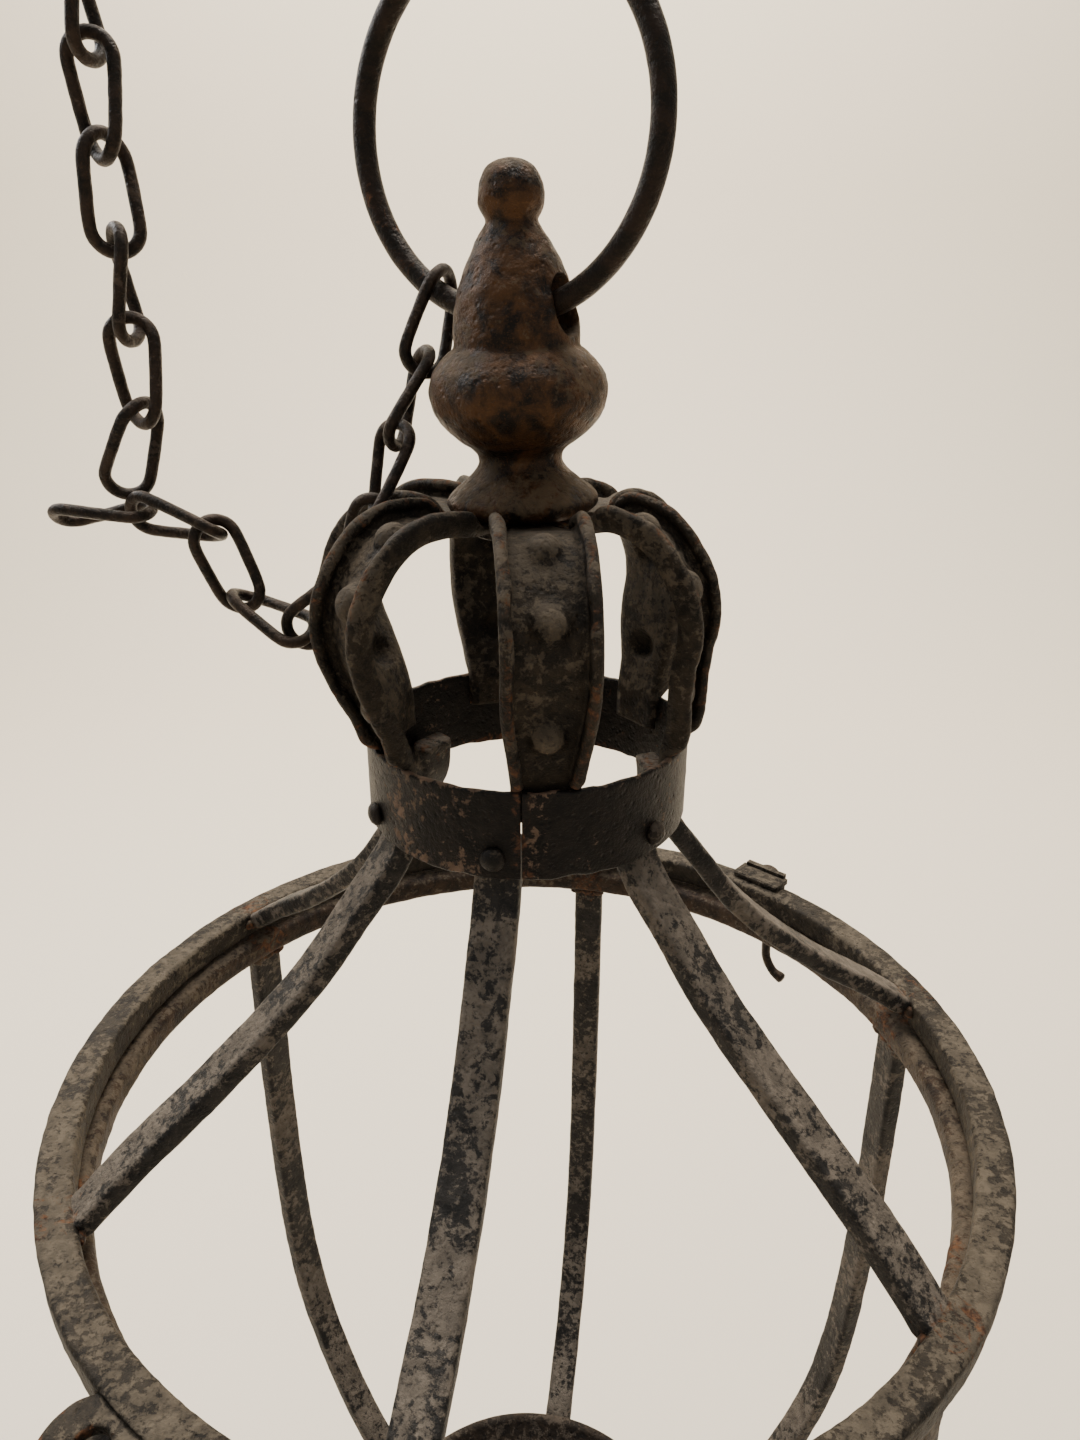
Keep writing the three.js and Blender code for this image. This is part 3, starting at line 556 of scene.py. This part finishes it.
# each look's material name, its dark skin, brown mottling and dust, then how dusty, rusty, rough and pitted
LOOKS = {
    "finial": ("finial_iron", (0.009, 0.0065, 0.005), (0.074, 0.035, 0.014), (0.092, 0.060, 0.031),
               0.38, 0.46, 0.46, 0.8),
    "ring": ("ring_wire", (0.010, 0.008, 0.006), (0.024, 0.015, 0.010), (0.05, 0.036, 0.026),
             -0.25, 0.2, 0.42, 0.4),
    "strap": ("strap_sheet", (0.010, 0.008, 0.006), (0.032, 0.024, 0.016), (0.098, 0.076, 0.052),
              0.44, 0.36, 0.55, 0.7),
    "collar": ("collar_sheet", (0.006, 0.0052, 0.0046), (0.012, 0.0095, 0.008), (0.200, 0.128, 0.085),
               0.10, 0.22, 0.50, 0.8),
    "bar": ("bar_iron", (0.015, 0.014, 0.013), (0.036, 0.032, 0.028), (0.180, 0.148, 0.115),
            0.46, 0.22, 0.58, 0.7),
    "upper_ring": ("cage_ring_iron", (0.012, 0.010, 0.008), (0.036, 0.029, 0.021), (0.122, 0.099, 0.071),
                   0.30, 0.34, 0.62, 0.8),
    "lower_ring": ("rim_iron", (0.016, 0.012, 0.010), (0.048, 0.031, 0.020), (0.115, 0.089, 0.062),
                   0.36, 0.42, 0.6, 0.7),
    "pan": ("pan_sheet", (0.008, 0.006, 0.005), (0.026, 0.018, 0.012), (0.08, 0.062, 0.046),
            0.25, 0.28, 0.6, 0.6),
    "fastener": ("fastener_iron", (0.010, 0.009, 0.008), (0.026, 0.019, 0.014), (0.08, 0.062, 0.045),
                 0.25, 0.3, 0.5, 0.5),
    "chain": ("chain_wire", (0.010, 0.008, 0.006), (0.034, 0.022, 0.015), (0.075, 0.052, 0.036),
              0.25, 0.26, 0.42, 0.4),
}


def make_materials():
    return {look: iron(*values) for look, values in LOOKS.items()}


# ---- carrying ring and finial ---------------------------------------------------------------------

def carrying_ring(iron_of):
    centre = Vector((0, 0, -(RING_RADIUS - RING_WIRE / 2)))
    steps = 200
    path = []
    for i in range(steps):
        a = 2 * pi * i / steps
        path.append((centre + (RING_ACROSS * cos(a) + Vector((0, 0, sin(a)))) * RING_RADIUS) * MM)

    def rust(i, j, p):
        """Rust on the ring's lower left."""
        return 0.85 * smooth(-2, -14, p.x / MM) * smooth(-20, -36, p.z / MM)

    piece = tube("carrying_ring_wire", path, RING_WIRE / 2, 20, True, 0.035, 2.0, rust=rust)
    dress(piece, "carrying_ring", iron_of["ring"], "ring_wire", "carrying_ring")


# the finial's turned outline, (radius, height) from its foot to its tip
FINIAL_PROFILE = (
    (11.4, 40.3), (12.8, 41.4), (13.1, 42.8), (12.3, 44), (10.3, 45.7), (8.3, 47.5), (7.3, 49), (7.3, 50.2),
    (8.2, 51.4), (9.9, 52.5), (12, 54.2), (13.6, 56), (14.6, 57.8), (15.05, 60), (14.9, 61.8), (14.3, 63.8),
    (13.1, 65.4), (11.5, 67), (10.7, 67.6), (10.55, 69.5), (10.3, 71.7), (9.6, 74.8), (8.9, 77.2),
    (7.8, 80.2), (6.3, 83), (4.9, 85.2), (4.25, 86.5), (4.7, 87.4), (5.3, 88.8), (5.4, 90.2), (4.95, 92.3),
    (3.9, 94), (2.2, 95), (0.6, 95.35),
)
# how far along the slot each section of its cutter lies, and how much of the slot's width it has
SLOT_SECTIONS = ((-30, 1.0), (-11, 1.0), (-9, 0.98), (9, 0.98), (11, 1.0), (30, 1.0))
FINIAL_TURN = Matrix.Rotation(radians(-FINIAL_LEAN), 3, "Y")
FINIAL_STAND = Vector((AXIS_X + FINIAL_OFFSET, 0, FINIAL_FOOT + COLLAR_TOP))


def leaning(x, y, z):
    """A point on the leaning finial, as metres in the row frame."""
    return (FINIAL_STAND + FINIAL_TURN @ Vector((x, y, z - FINIAL_FOOT))) * MM


def drilled(piece, tool):
    """Cuts a tool out of a piece and removes the tool."""
    change = piece.modifiers.new("cut", "BOOLEAN")
    change.operation = "DIFFERENCE"
    change.solver = "EXACT"
    change.object = tool
    graph = bpy.context.evaluated_depsgraph_get()
    result = bpy.data.meshes.new_from_object(piece.evaluated_get(graph))
    piece.modifiers.clear()
    piece.data = result
    bpy.data.objects.remove(tool)


def slot_tool():
    """A long round-ended bar across the finial, where the carrying ring goes through."""
    radius, steps = SLOT_WIDTH / 2, 16
    outline = []
    for start, middle in ((0, SLOT_HIGH - radius), (pi, SLOT_LOW + radius)):
        for k in range(steps + 1):
            a = start + pi * k / steps
            outline.append((radius * cos(a), middle + radius * sin(a)))
    aside = Vector((-RING_ACROSS.y, RING_ACROSS.x, 0))
    rows = []
    for reach, flare in SLOT_SECTIONS:
        row = []
        for u, z in outline:
            q = RING_ACROSS * reach + aside * u * flare
            row.append(leaning(q.x, q.y, z))
        rows.append(row)
    return outward(skin("slot_tool", rows))


def bore_tool():
    """A round bar up into the finial's foot, where its bolt goes."""
    sides, below = 24, 4
    rows = []
    for z in (FINIAL_FOOT - below, BOLT_TOP):
        turns = [2 * pi * k / sides for k in range(sides)]
        rows.append([leaning(BOLT_ROOM * cos(a), BOLT_ROOM * sin(a), z) for a in turns])
    return outward(skin("bore_tool", rows))


def finial(iron_of):
    steps = 96
    rows = []
    for r, z in curve2(FINIAL_PROFILE, 150):
        row = []
        for k in range(steps):
            a = 2 * pi * k / steps
            p = leaning(r * cos(a), r * sin(a), z)
            wear = min(r / 5, 1.0)
            push = wear * (0.3 * grain(p, 6, 1.0) + 0.17 * grain(p, 2, 4.0) + 0.07 * grain(p, 0.9, 9.0))
            row.append(leaning((r + push) * cos(a), (r + push) * sin(a), z))
        rows.append(row)
    piece = outward(skin("finial_turning", rows))
    drilled(piece, slot_tool())
    drilled(piece, bore_tool())
    dress(piece, "dome", iron_of["finial"], "finial_iron", "finial")


# ---- crown ----------------------------------------------------------------------------------------

# a strap's outline runs along one side, the web's face, the other side and the web's underside: the points
# in a side, the columns of the face, and where the crests of the two rolled rims come
HEM_STEPS, WEB_STEPS = 8, 22
SIDE_POINTS = HEM_STEPS + 5
WEB_COLUMNS = (SIDE_POINTS, SIDE_POINTS + WEB_STEPS)
HEM_CREST = 3 + (HEM_STEPS - 1) / 2
HEM_CRESTS = (HEM_CREST, 2 * SIDE_POINTS + WEB_STEPS - HEM_CREST)


def strap_curve(azimuth):
    """A strap's middle line, (radius, height) from the finial's foot down into the collar."""
    bulge = -sin(radians(azimuth)) * CROWN_LEAN
    points = ((4, 39), (9, 39), (14, 39.2), (19, 39.9), (23.5, 39), (27, 36.7), (29.6, 33.6), (31.6, 30.2),
              (32.9, 26.5), (33.2, 22.5), (32.4, 18), (31.1, 13), (29.4, 6), (27.9, 0), (27.5, -6.5))
    return [(r + bulge * smooth(13, 24, r) * smooth(2, 20, z), z) for r, z in points]


def strap_section(curve, seed):
    """The channel's outline at each step: a web with pressed bumps, and rolled flanges up both sides."""
    arc = [0.0]
    for (r0, z0), (r1, z1) in zip(curve, curve[1:]):
        arc.append(arc[-1] + hypot(r1 - r0, z1 - z0))
    bumps = []
    for level, size in STRAP_BUMPS:
        at = next(i for i, (r, z) in enumerate(curve) if r > 20 and z < level)
        bumps.append((arc[at], size))

    def flange(half, rise, swell):
        """From the web's underside, out round the flange's rolled rim and back in to the web's face."""
        t = STRAP_SHEET / 2
        fold = min(1.0, rise / 1.5)
        narrow = min(1.0, half / 5)
        hem = (0.3 + STRAP_HEM * fold) * narrow * swell
        top = t + rise - 0.4 * hem
        points = [(1.5 * narrow, -t), (0.5 * narrow, -0.7 * t), (0.12 * narrow, 0.5 * t + 0.25 * rise)]
        for k in range(HEM_STEPS):
            a = radians(190 - 240 * k / (HEM_STEPS - 1))
            points.append((hem + hem * cos(a), top + hem * sin(a)))
        points.append(((1.1 + 0.35 * fold) * narrow, t + 0.35 * rise))
        points.append(((1.5 + 0.5 * fold) * narrow, t + 0.05 * rise))
        return [(x - half, y) for x, y in points]

    def section(i, r, z):
        width = STRAP_FOOT_WIDTH + (STRAP_WIDTH - STRAP_FOOT_WIDTH) * smooth(-3, 19, z)
        half = min(width / 2, max(r * tan(radians(STRAP_SECTOR)) - GAP, 0.8))
        waves = ((3.5, 0), (1.3, 4), (5, 8))
        wander = [noise.noise(Vector((arc[i] / size, seed, part))) for size, part in waves]
        uneven = STRAP_FLANGE + 0.22 * wander[0] + 0.1 * wander[1]
        rise = uneven * smooth(12.5, 17, r) * smooth(-1.5, 3.5, z)
        side = flange(half, rise, 1 + 0.24 * wander[2])
        reach = side[-1][0]
        web = [reach - 2 * reach * k / WEB_STEPS for k in range(WEB_STEPS + 1)]

        def lift(aside):
            away = [hypot(aside, arc[i] - at) / size for at, size in bumps]
            return sum(BUMP_HEIGHT * exp(-(1.22 * d) ** 4) for d in away)

        face = [(x, STRAP_SHEET / 2 + lift(x)) for x in web]
        under = [(x, -STRAP_SHEET / 2 + 0.92 * lift(x)) for x in reversed(web)]
        return side + face + [(-x, y) for x, y in reversed(side)] + under

    return section


def crown_straps(iron_of):
    for number, azimuth in enumerate(STRAP_AZIMUTHS, 1):
        curve = curve2(strap_curve(azimuth), 110)
        section = strap_section(curve, number * 3.1)

        def rust(i, j, p):
            """Rust along the rolled rims, at the foot and on top."""
            rim = max(0.0, 1 - min(abs(j - rim_at) for rim_at in HEM_CRESTS) / 6)
            foot = smooth(6, -4, curve[i][1])
            crest = smooth(12, 5, curve[i][0])
            return min(1.0, 0.85 * rim + 0.4 * foot + 0.8 * crest)

        name = f"crown_strap_{number}"
        piece = strip(f"{name}_pressing", curve, azimuth, section, number * 2.3, 0.09, STILL, rust)
        flakes = []
        for i, (r, z) in enumerate(curve):
            for j, (_, out) in enumerate(section(i, r, z)):
                flakes.append(smooth(1.2, 2.2, out) if WEB_COLUMNS[0] < j < WEB_COLUMNS[1] else 0.0)
        paint_flakes(piece, flakes)
        dress(piece, "dome", iron_of["strap"], "strap_sheet", name)


# ---- collar ---------------------------------------------------------------------------------------

def collar(iron_of):
    middle = COLLAR_RADIUS - COLLAR_SHEET / 2
    sheet = rounded(COLLAR_SHEET, COLLAR_HEIGHT, 0.45, 3)
    outline = refine([(middle + x, -COLLAR_HEIGHT / 2 + y) for x, y in sheet], 0.8)
    slit = degrees(SEAM_HALF_GAP / COLLAR_RADIUS)
    steps = 260
    azimuths = [SEAM_AZIMUTH + slit + (360 - 2 * slit) * i / steps for i in range(steps + 1)]

    def shape(azimuth, r, z):
        """Uneven edges, and shallow places where scale has come off."""
        edge = smooth(2.2, 0, -z) + smooth(-COLLAR_HEIGHT + 2.2, -COLLAR_HEIGHT, z)
        flake = noise.noise(Vector((azimuth / 7, z / 3, 2)))
        return 0.3 * edge * noise.noise(Vector((azimuth / 6, z / 6, 9))) - 0.14 * smooth(0.15, 0.4, flake)

    def rust(i, j, p):
        """Rust at the seam, all over the inside and along the lower edge."""
        seam = smooth(9, 0, min(i, steps - i) * 360 / steps)
        inside = 0.6 if hypot(p.x / MM - AXIS_X, p.y / MM) < middle else 0.0
        low = smooth(-COLLAR_HEIGHT + 3, -COLLAR_HEIGHT, p.z / MM - COLLAR_TOP)
        return min(1.0, 0.9 * seam + inside + 0.5 * low)

    piece = band("collar_sheet_band", outline, azimuths, False, STILL, 0.1, 4.0, rust, shape)
    flakes = []
    for azimuth in azimuths:
        worn = sum(exp(-((azimuth - SEAM_AZIMUTH - at) / wide) ** 2) for at, wide in FLAKED)
        flakes += [worn] * len(outline)
    paint_flakes(piece, flakes)
    dress(piece, "dome", iron_of["collar"], "collar_sheet", "collar")


def collar_rivets(iron_of):
    profile = ((RIVET_ROOT, 1.25), (COLLAR_RADIUS, 1.3), (COLLAR_RADIUS + 0.25, 2.2),
               (COLLAR_RADIUS + 0.9, 2.15), (COLLAR_RADIUS + 1.5, 1.55), (COLLAR_RADIUS + 1.85, 0.6))
    sides = 20
    for number, (azimuth, _) in enumerate(UPPER_BARS, 1):
        rows = []
        for r, size in profile:
            row = []
            for k in range(sides):
                a = 2 * pi * k / sides
                wobble = 1 + 0.09 * noise.noise(Vector((cos(a), sin(a), number * 3.3)))
                row.append(point(r, RIVET_LEVEL + size * wobble * sin(a), azimuth, size * wobble * cos(a)))
            rows.append(row)
        name = f"collar_rivet_{number}"
        dress(skin(f"{name}_head", rows), "dome", iron_of["fastener"], "fasteners", name)


# ---- bars -----------------------------------------------------------------------------------------

def bar_piece(node, points, azimuth, body, iron_of, seed, steps, centre=STILL, spring=0.0):
    """A flat bar along (radius, height) points, whose middle may be sprung up a few millimetres."""
    start, end = points[0][0], points[-1][0]
    curve = curve2(points, steps)
    if spring:
        curve = [(r, z + spring * sin(pi * (r - start) / (end - start))) for r, z in curve]
    outline = refine(rounded(BAR_WIDTH, BAR_THICK, 1.0, 3), 0.9)
    last = len(curve) - 1

    def section(i, r, z):
        lean = 0.25 * noise.noise(Vector((i / 26, seed, 1)))
        swell = 1 + 0.025 * noise.noise(Vector((i / 9, seed, 7)))
        square = 0.94 if i in (0, last) else 1.0
        return [(x * swell * square + lean * y / BAR_THICK, y * square) for x, y in outline]

    def rust(i, j, p):
        """Rust at both ends, by the welds, and a little anywhere."""
        return max(smooth(9, 1, i), smooth(last - 9, last - 1, i)) * 0.9 + 0.12 * noise.noise(p / 0.012)

    piece = strip(f"{node}_forging", curve, azimuth, section, seed, 0.13, centre, rust)
    dress(piece, body, iron_of["bar"], "flat_bars", node)


def upper_bars(iron_of):
    end = UPPER_RING["inner"] - GAP
    points = ((25.5, -10.9), (25.8, -13.5), (26.4, -17.8), (29.2, -24), (36.5, -35), (46, -48.5),
              (56.7, -59.3), (69, -68.6), (81.6, -75.6), (end, -82))
    for number, (azimuth, spring) in enumerate(UPPER_BARS, 1):
        seed = number * 1.9
        bar_piece(f"upper_bar_{number}", points, azimuth, "dome", iron_of, seed, 110, spring=spring)


def lower_bars(iron_of):
    top = LOWER_RING["bottom"] - GAP
    points = ((94.4, top), (94.9, -125), (95, -150), (94.3, -180), (92.3, -205), (88.2, -225),
              (81.2, -243), (72, -259.5), (62, -271.8), (52.6, -281), (42.5, -291))
    for number, azimuth in enumerate(LOWER_BAR_AZIMUTHS, 1):
        seed = 20 + number * 1.9
        bar_piece(f"lower_bar_{number}", points, azimuth, "basket", iron_of, seed, 190, BASKET_MOVE)


# ---- rings ----------------------------------------------------------------------------------------

def clear_ear(piece, side):
    """Pushes a ring's skin out of the round place where its hinge ear stands."""
    level = PARTING + side * EAR_MIDDLE
    origin = Vector((AXIS_X, 0, COLLAR_TOP))
    for vertex in piece.data.vertices:
        q = vertex.co / MM - origin
        turn, r = radians(degrees(atan2(q.x, -q.y)) - HINGE_AZIMUTH), hypot(q.x, q.y)
        away = hypot(r * cos(turn) - EAR_CENTRE, r * sin(turn))
        if away < EAR_RADIUS + GAP and abs(q.z - level) < EAR_THICK / 2 + GAP:
            a = radians(HINGE_AZIMUTH)
            hub = Vector((EAR_CENTRE * sin(a), -EAR_CENTRE * cos(a), q.z))
            out = (q - hub).normalized() * (EAR_RADIUS + GAP)
            vertex.co = (hub + out + origin) * MM


def cage_ring(node, size, edge, body, iron_of, seed, welds, centre=STILL, butt=None):
    """A ring of bar, rusty by its welds. butt is the azimuth of its own butt weld, if that shows."""
    width, height = size["outer"] - size["inner"], size["top"] - size["bottom"]
    middle_r, middle_z = size["inner"] + width / 2, size["bottom"] + height / 2
    outline = refine([(middle_r + x, middle_z + y) for x, y in rounded(width, height, edge, 4)], 0.75)
    steps = 520
    azimuths = [360 * i / steps for i in range(steps)]

    def shape(azimuth, r, z):
        """A notch with a raised lip on both sides at the butt weld."""
        if butt is None:
            return 0.0
        away = apart(azimuth, butt)
        return -0.55 * exp(-(away / 0.35) ** 2) + 0.3 * exp(-((away - 1.5) / 1.1) ** 2)

    def rust(i, j, p):
        near = min(apart(azimuths[i], weld) for weld in welds)
        return 0.85 * smooth(6.5, 1.5, near)

    piece = band(f"{node}_forging", outline, azimuths, True, centre, 0.16, seed, rust, shape)
    clear_ear(piece, 1 if size is UPPER_RING else -1)
    dress(piece, body, iron_of[node], "cage_rings", node)


# each weld's (radius, height), how many degrees its beads stand from the bar, and half of a bead's width,
# height and depth
UPPER_WELD = ((UPPER_RING["inner"] - 0.2, -82.2), (-2.5, 0, 2.5), (1.9, 1.5, 1.0))
LOWER_WELD = ((91.9, LOWER_RING["bottom"] - 0.4), (-1.9, 0.2, 2.1), (1.8, 1.1, 0.9))
FOOT_WELD = ((49.2, -283.6), (-1.7, 1.4), (1.9, 1.6, 1.3))
WELD_RUST = 0.9


def beads(weld, azimuth):
    at, asides, halves = weld
    return [(*at, azimuth + aside, *halves) for aside in asides]


def weld_beads(name, places, centre, body, iron_of, seed):
    """Lumps of weld, placed as beads() says, made as one piece."""
    verts, faces = [], []
    rings, around = 9, 14
    for number, (r, z, azimuth, wide, high, deep) in enumerate(places):
        base = len(verts)
        for i in range(rings + 1):
            a = pi * i / rings
            for k in range(around):
                b = 2 * pi * k / around
                d = Vector((sin(a) * cos(b), sin(a) * sin(b), cos(a)))
                lump = 1 + 0.22 * noise.noise(d * 1.6 + Vector((number * 2.1 + seed, 0, 3)))
                aside = d.y * wide * lump
                verts.append(point(r + d.x * deep * lump, z + d.z * high * lump, azimuth, aside) + centre)
        for i in range(rings):
            for k in range(around):
                a, b = base + i * around, base + (i + 1) * around
                faces.append((a + k, a + (k + 1) % around, b + (k + 1) % around, b + k))
    mesh = bpy.data.meshes.new(name)
    mesh.from_pydata(verts, [], faces)
    layer = mesh.attributes.new("rust", "FLOAT", "POINT")
    layer.data.foreach_set("value", [WELD_RUST] * len(verts))
    mesh.validate()
    piece = outward(shaped(name, mesh))
    piece.data.materials.append(iron_of["lower_ring"])
    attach(piece, body)


def rings(iron_of):
    upper_welds = [azimuth for azimuth, _ in UPPER_BARS]
    lower_welds = [*LOWER_BAR_AZIMUTHS, LOWER_BUTT_AZIMUTH]
    cage_ring("upper_ring", UPPER_RING, 1.1, "dome", iron_of, 3.0, upper_welds)
    cage_ring("lower_ring", LOWER_RING, 1.9, "basket", iron_of, 8.0, lower_welds, BASKET_MOVE,
              LOWER_BUTT_AZIMUTH)
    tops = []
    for azimuth in upper_welds:
        tops += beads(UPPER_WELD, azimuth)
    weld_beads("upper_ring_welds", tops, STILL, "dome", iron_of, 1.0)
    feet = []
    for azimuth in LOWER_BAR_AZIMUTHS:
        feet += beads(LOWER_WELD, azimuth) + beads(FOOT_WELD, azimuth)
    weld_beads("basket_welds", feet, BASKET_MOVE, "basket", iron_of, 6.0)


# ---- candle pan -----------------------------------------------------------------------------------

def candle_pan(iron_of):
    foot, rim_level, floor = 33.0, -278.0, PAN_BASE + PAN_SHEET
    under = ((0.4, PAN_BASE), (12, PAN_BASE), (24, PAN_BASE), (foot - 1, PAN_BASE), (foot, PAN_BASE + 0.2),
             (foot + 1.6, PAN_BASE + 1.8), (42, -286.6), (PAN_RIM - 1.6, rim_level - 1),
             (PAN_RIM, rim_level - 0.4), (PAN_RIM + 0.4, rim_level + 0.6), (PAN_RIM - 0.5, rim_level + 1.4))
    inside = ((PAN_RIM - 2, rim_level + 1), (PAN_RIM - 3.4, rim_level - 0.6), (40.6, -285.2),
              (foot - 0.4, floor + 1), (foot - 1.8, floor), (26, floor - 0.1), (18.2, floor),
              (17.2, floor + 0.9), (16, floor + 1.7), (14.8, floor + 0.9), (13.8, floor), (7, floor - 0.1),
              (0.4, floor))
    curve = curve2(under + inside, 210)
    steps = 150
    rows = []
    for k in range(steps):
        azimuth = 360 * k / steps
        row = []
        for r, z in curve:
            p = point(r, z, azimuth) + BASKET_MOVE
            sunk = 0.22 * grain(p, 16, 3.0) + 0.08 * grain(p, 3, 6.0) if z > PAN_BASE + 0.4 else 0.0
            row.append(point(r, z + sunk * min(r / 8, 1), azimuth) + BASKET_MOVE)
        rows.append(row)

    def rust(i, j, p):
        return 0.5 * smooth(46, 50, hypot(p.x / MM - AXIS_X, p.y / MM))

    piece = skin("candle_pan_dish", rows, True, rust=rust)
    dress(piece, "basket", iron_of["pan"], "pan_sheet", "candle_pan")


# ---- hinge and latch ------------------------------------------------------------------------------

def hinge_ear(side, node, body, iron_of):
    """A flat round eye beside a ring; side is 1 above the parting and -1 below it."""
    hub = point(EAR_CENTRE, PARTING + side * EAR_MIDDLE, HINGE_AZIMUTH)
    outline = refine(rounded(EAR_RADIUS - EAR_HOLE, EAR_THICK, 0.6, 3), 0.7)
    middle = (EAR_RADIUS + EAR_HOLE) / 2
    rows = []
    steps = 72
    for i in range(steps):
        a = 2 * pi * i / steps
        spoke = Vector((cos(a), sin(a), 0))
        row = []
        for x, y in outline:
            p = hub + (spoke * (middle + x) + Vector((0, 0, y))) * MM
            out = spoke * (x / middle) + Vector((0, 0, y / EAR_THICK))
            row.append(p + out * 0.22 * MM * grain(p, 3.0, 2.0))
        rows.append(row)

    def rust(i, j, p):
        away = (Vector((p.x, p.y)) - Vector((hub.x, hub.y))).length / MM
        outer = smooth(EAR_RADIUS - 1.6, EAR_RADIUS - 0.3, away)
        return 0.8 * max(outer, smooth(EAR_HOLE + 1.2, EAR_HOLE, away))

    piece = skin(f"{node}_lobe", rows, True, rust=rust)
    dress(piece, body, iron_of["upper_ring"], "cage_rings", node)


def hinge(iron_of):
    hinge_ear(1, "hinge_ear_upper", "dome", iron_of)
    hinge_ear(-1, "hinge_ear_lower", "basket", iron_of)
    steps = 96
    path = []
    for i in range(steps):
        a = 2 * pi * i / steps
        path.append(point(HINGE_AXIS + HINGE_LOOP * cos(a), PARTING + HINGE_LOOP * sin(a), HINGE_AZIMUTH))
    piece = tube("hinge_loop_wire", path, HINGE_WIRE / 2, 14, True, 0.05, 7.0)
    dress(piece, "dome", iron_of["chain"], "fasteners", "hinge_loop")


def latch(iron_of):
    """The latch hook: an eye round its rivet and a wavy tail. Its points are (aside, height)."""
    radius, steps, first, sweep = 2.9, 21, -82, 334
    eye = []
    for k in range(steps + 1):
        a = radians(first + sweep * k / steps)
        eye.append((radius * cos(a), HOOK_PIVOT + radius * sin(a)))
    tail = ((0, -84.2), (0.2, -87), (1.8, -89.2), (3.1, -92), (2.2, -95), (-0.4, -97.2), (-1.6, -100),
            (-1.4, -104), (-2, -108), (-4.4, -111.4), (-7.4, -112.6))
    bends = curve2(eye, 40)[:-1] + curve2(tail, 80)[1:]
    path = [point(HOOK_RADIUS, z, LATCH_AZIMUTH, aside) for aside, z in bends]

    def swell(t):
        """The tail's tip is hammered thicker."""
        return 1 + 0.22 * smooth(0.93, 1.0, t)

    piece = tube("latch_hook_wire", path, HOOK_WIRE / 2, 14, False, 0.06, 3.0, swell)
    dress(piece, "latch_hook", iron_of["chain"], "chain_wire", "latch_hook")


# ---- chain ----------------------------------------------------------------------------------------

def chain_link(number, start, end, roll, body, iron_of):
    """One link whose two ends are turned against each other."""
    along = (end - start).normalized()
    across = Vector((0, 1, 0)).cross(along).normalized()
    half = ((end - start).length + LINK_WIRE + LINK_PLAY) / 2
    bend = (LINK_WIDTH - LINK_WIRE) / 2
    middle = (start + end) / 2
    flat = half - bend
    steps = 12
    outline = []
    for sign in (1, -1):
        for k in range(steps + 1):
            a = radians(-90 + 180 * k / steps)
            outline.append((sign * (flat + bend * cos(a)), sign * bend * sin(a)))
        outline.append((0.0, sign * bend))
    path = []
    for x, s in curve2(outline, 64, True):
        turned = radians(roll + LINK_TWIST * x / (2 * half))
        side = Matrix.Rotation(turned, 3, along) @ across
        path.append((middle + along * x + side * s) * MM)
    name = f"chain_link_{number:02d}"
    piece = tube(f"{name}_wire", path, LINK_WIRE / 2, 12, True, 0.05, number * 1.3)
    dress(piece, body, iron_of["chain"], "chain_wire", name)


def chain(iron_of):
    body_of = {}
    for body, nodes in frame["record"]["behaviour"]["bodies"].items():
        body_of.update({node: body for node in nodes})

    def run(start, route, first):
        """Links from start towards each point of the route in turn; gives back where the last one ends."""
        at = start
        for i, (*target, roll) in enumerate(route):
            end = at + (Vector(target) - at).normalized() * LINK_PITCH
            chain_link(first + i, at, end, roll, body_of[f"chain_link_{first + i:02d}"], iron_of)
            at = end
        return at

    end = run(Vector(CHAIN_START), CHAIN_ROUTE, 1)
    slack, number = end + Vector(SLACK_START), len(CHAIN_ROUTE) + 1
    body = body_of[f"chain_link_{number:02d}"]
    chain_link(number, slack, slack + Vector(SLACK_REACH), SLACK_ROLL, body, iron_of)
    top = run(end + Vector(RISER_START), RISER_ROUTE, number + 1)
    hook = ((0, 1.6), (-3.4, -0.6), (-3.2, -4.2), (0.4, -5.6), (3.6, -3.4), (3.4, 2), (1.2, 7), (0.8, 13),
            (2.6, 17.6), (7, 18.6), (10, 15), (9, 11.4))
    a = radians(CHAIN_HOOK_YAW)
    path = []
    for x, z in curve2(hook, 90):
        path.append((top + Vector((x * cos(a), x * sin(a), z + CHAIN_HOOK_LIFT))) * MM)
    piece = tube("chain_hook_wire", path, CHAIN_HOOK_WIRE / 2, 12, False, 0.05, 11.0)
    dress(piece, body_of["chain_hook"], iron_of["chain"], "chain_wire", "chain_hook")


# ---- small CAD pieces kept as they are ------------------------------------------------------------

SOFT_EDGE = 0.25


def kept_nodes(iron_of):
    looks = {"finial_bolt": "fastener", "bolt_washer": "fastener", "bolt_nut": "fastener",
             "latch_bracket": "upper_ring", "latch_rivet": "fastener", "latch_stud": "fastener"}
    for node, look in looks.items():
        piece = frame["nodes"][node]
        piece.data.materials.clear()
        piece.data.materials.append(iron_of[look])
        bevel = piece.modifiers.new("soft_edges", "BEVEL")
        bevel.width = SOFT_EDGE * MM
        bevel.segments = 2
        bevel.limit_method = "ANGLE"


make_camera()
make_stage()
IRON = make_materials()
carrying_ring(IRON)
finial(IRON)
crown_straps(IRON)
collar(IRON)
collar_rivets(IRON)
upper_bars(IRON)
lower_bars(IRON)
rings(IRON)
candle_pan(IRON)
hinge(IRON)
latch(IRON)
chain(IRON)
kept_nodes(IRON)
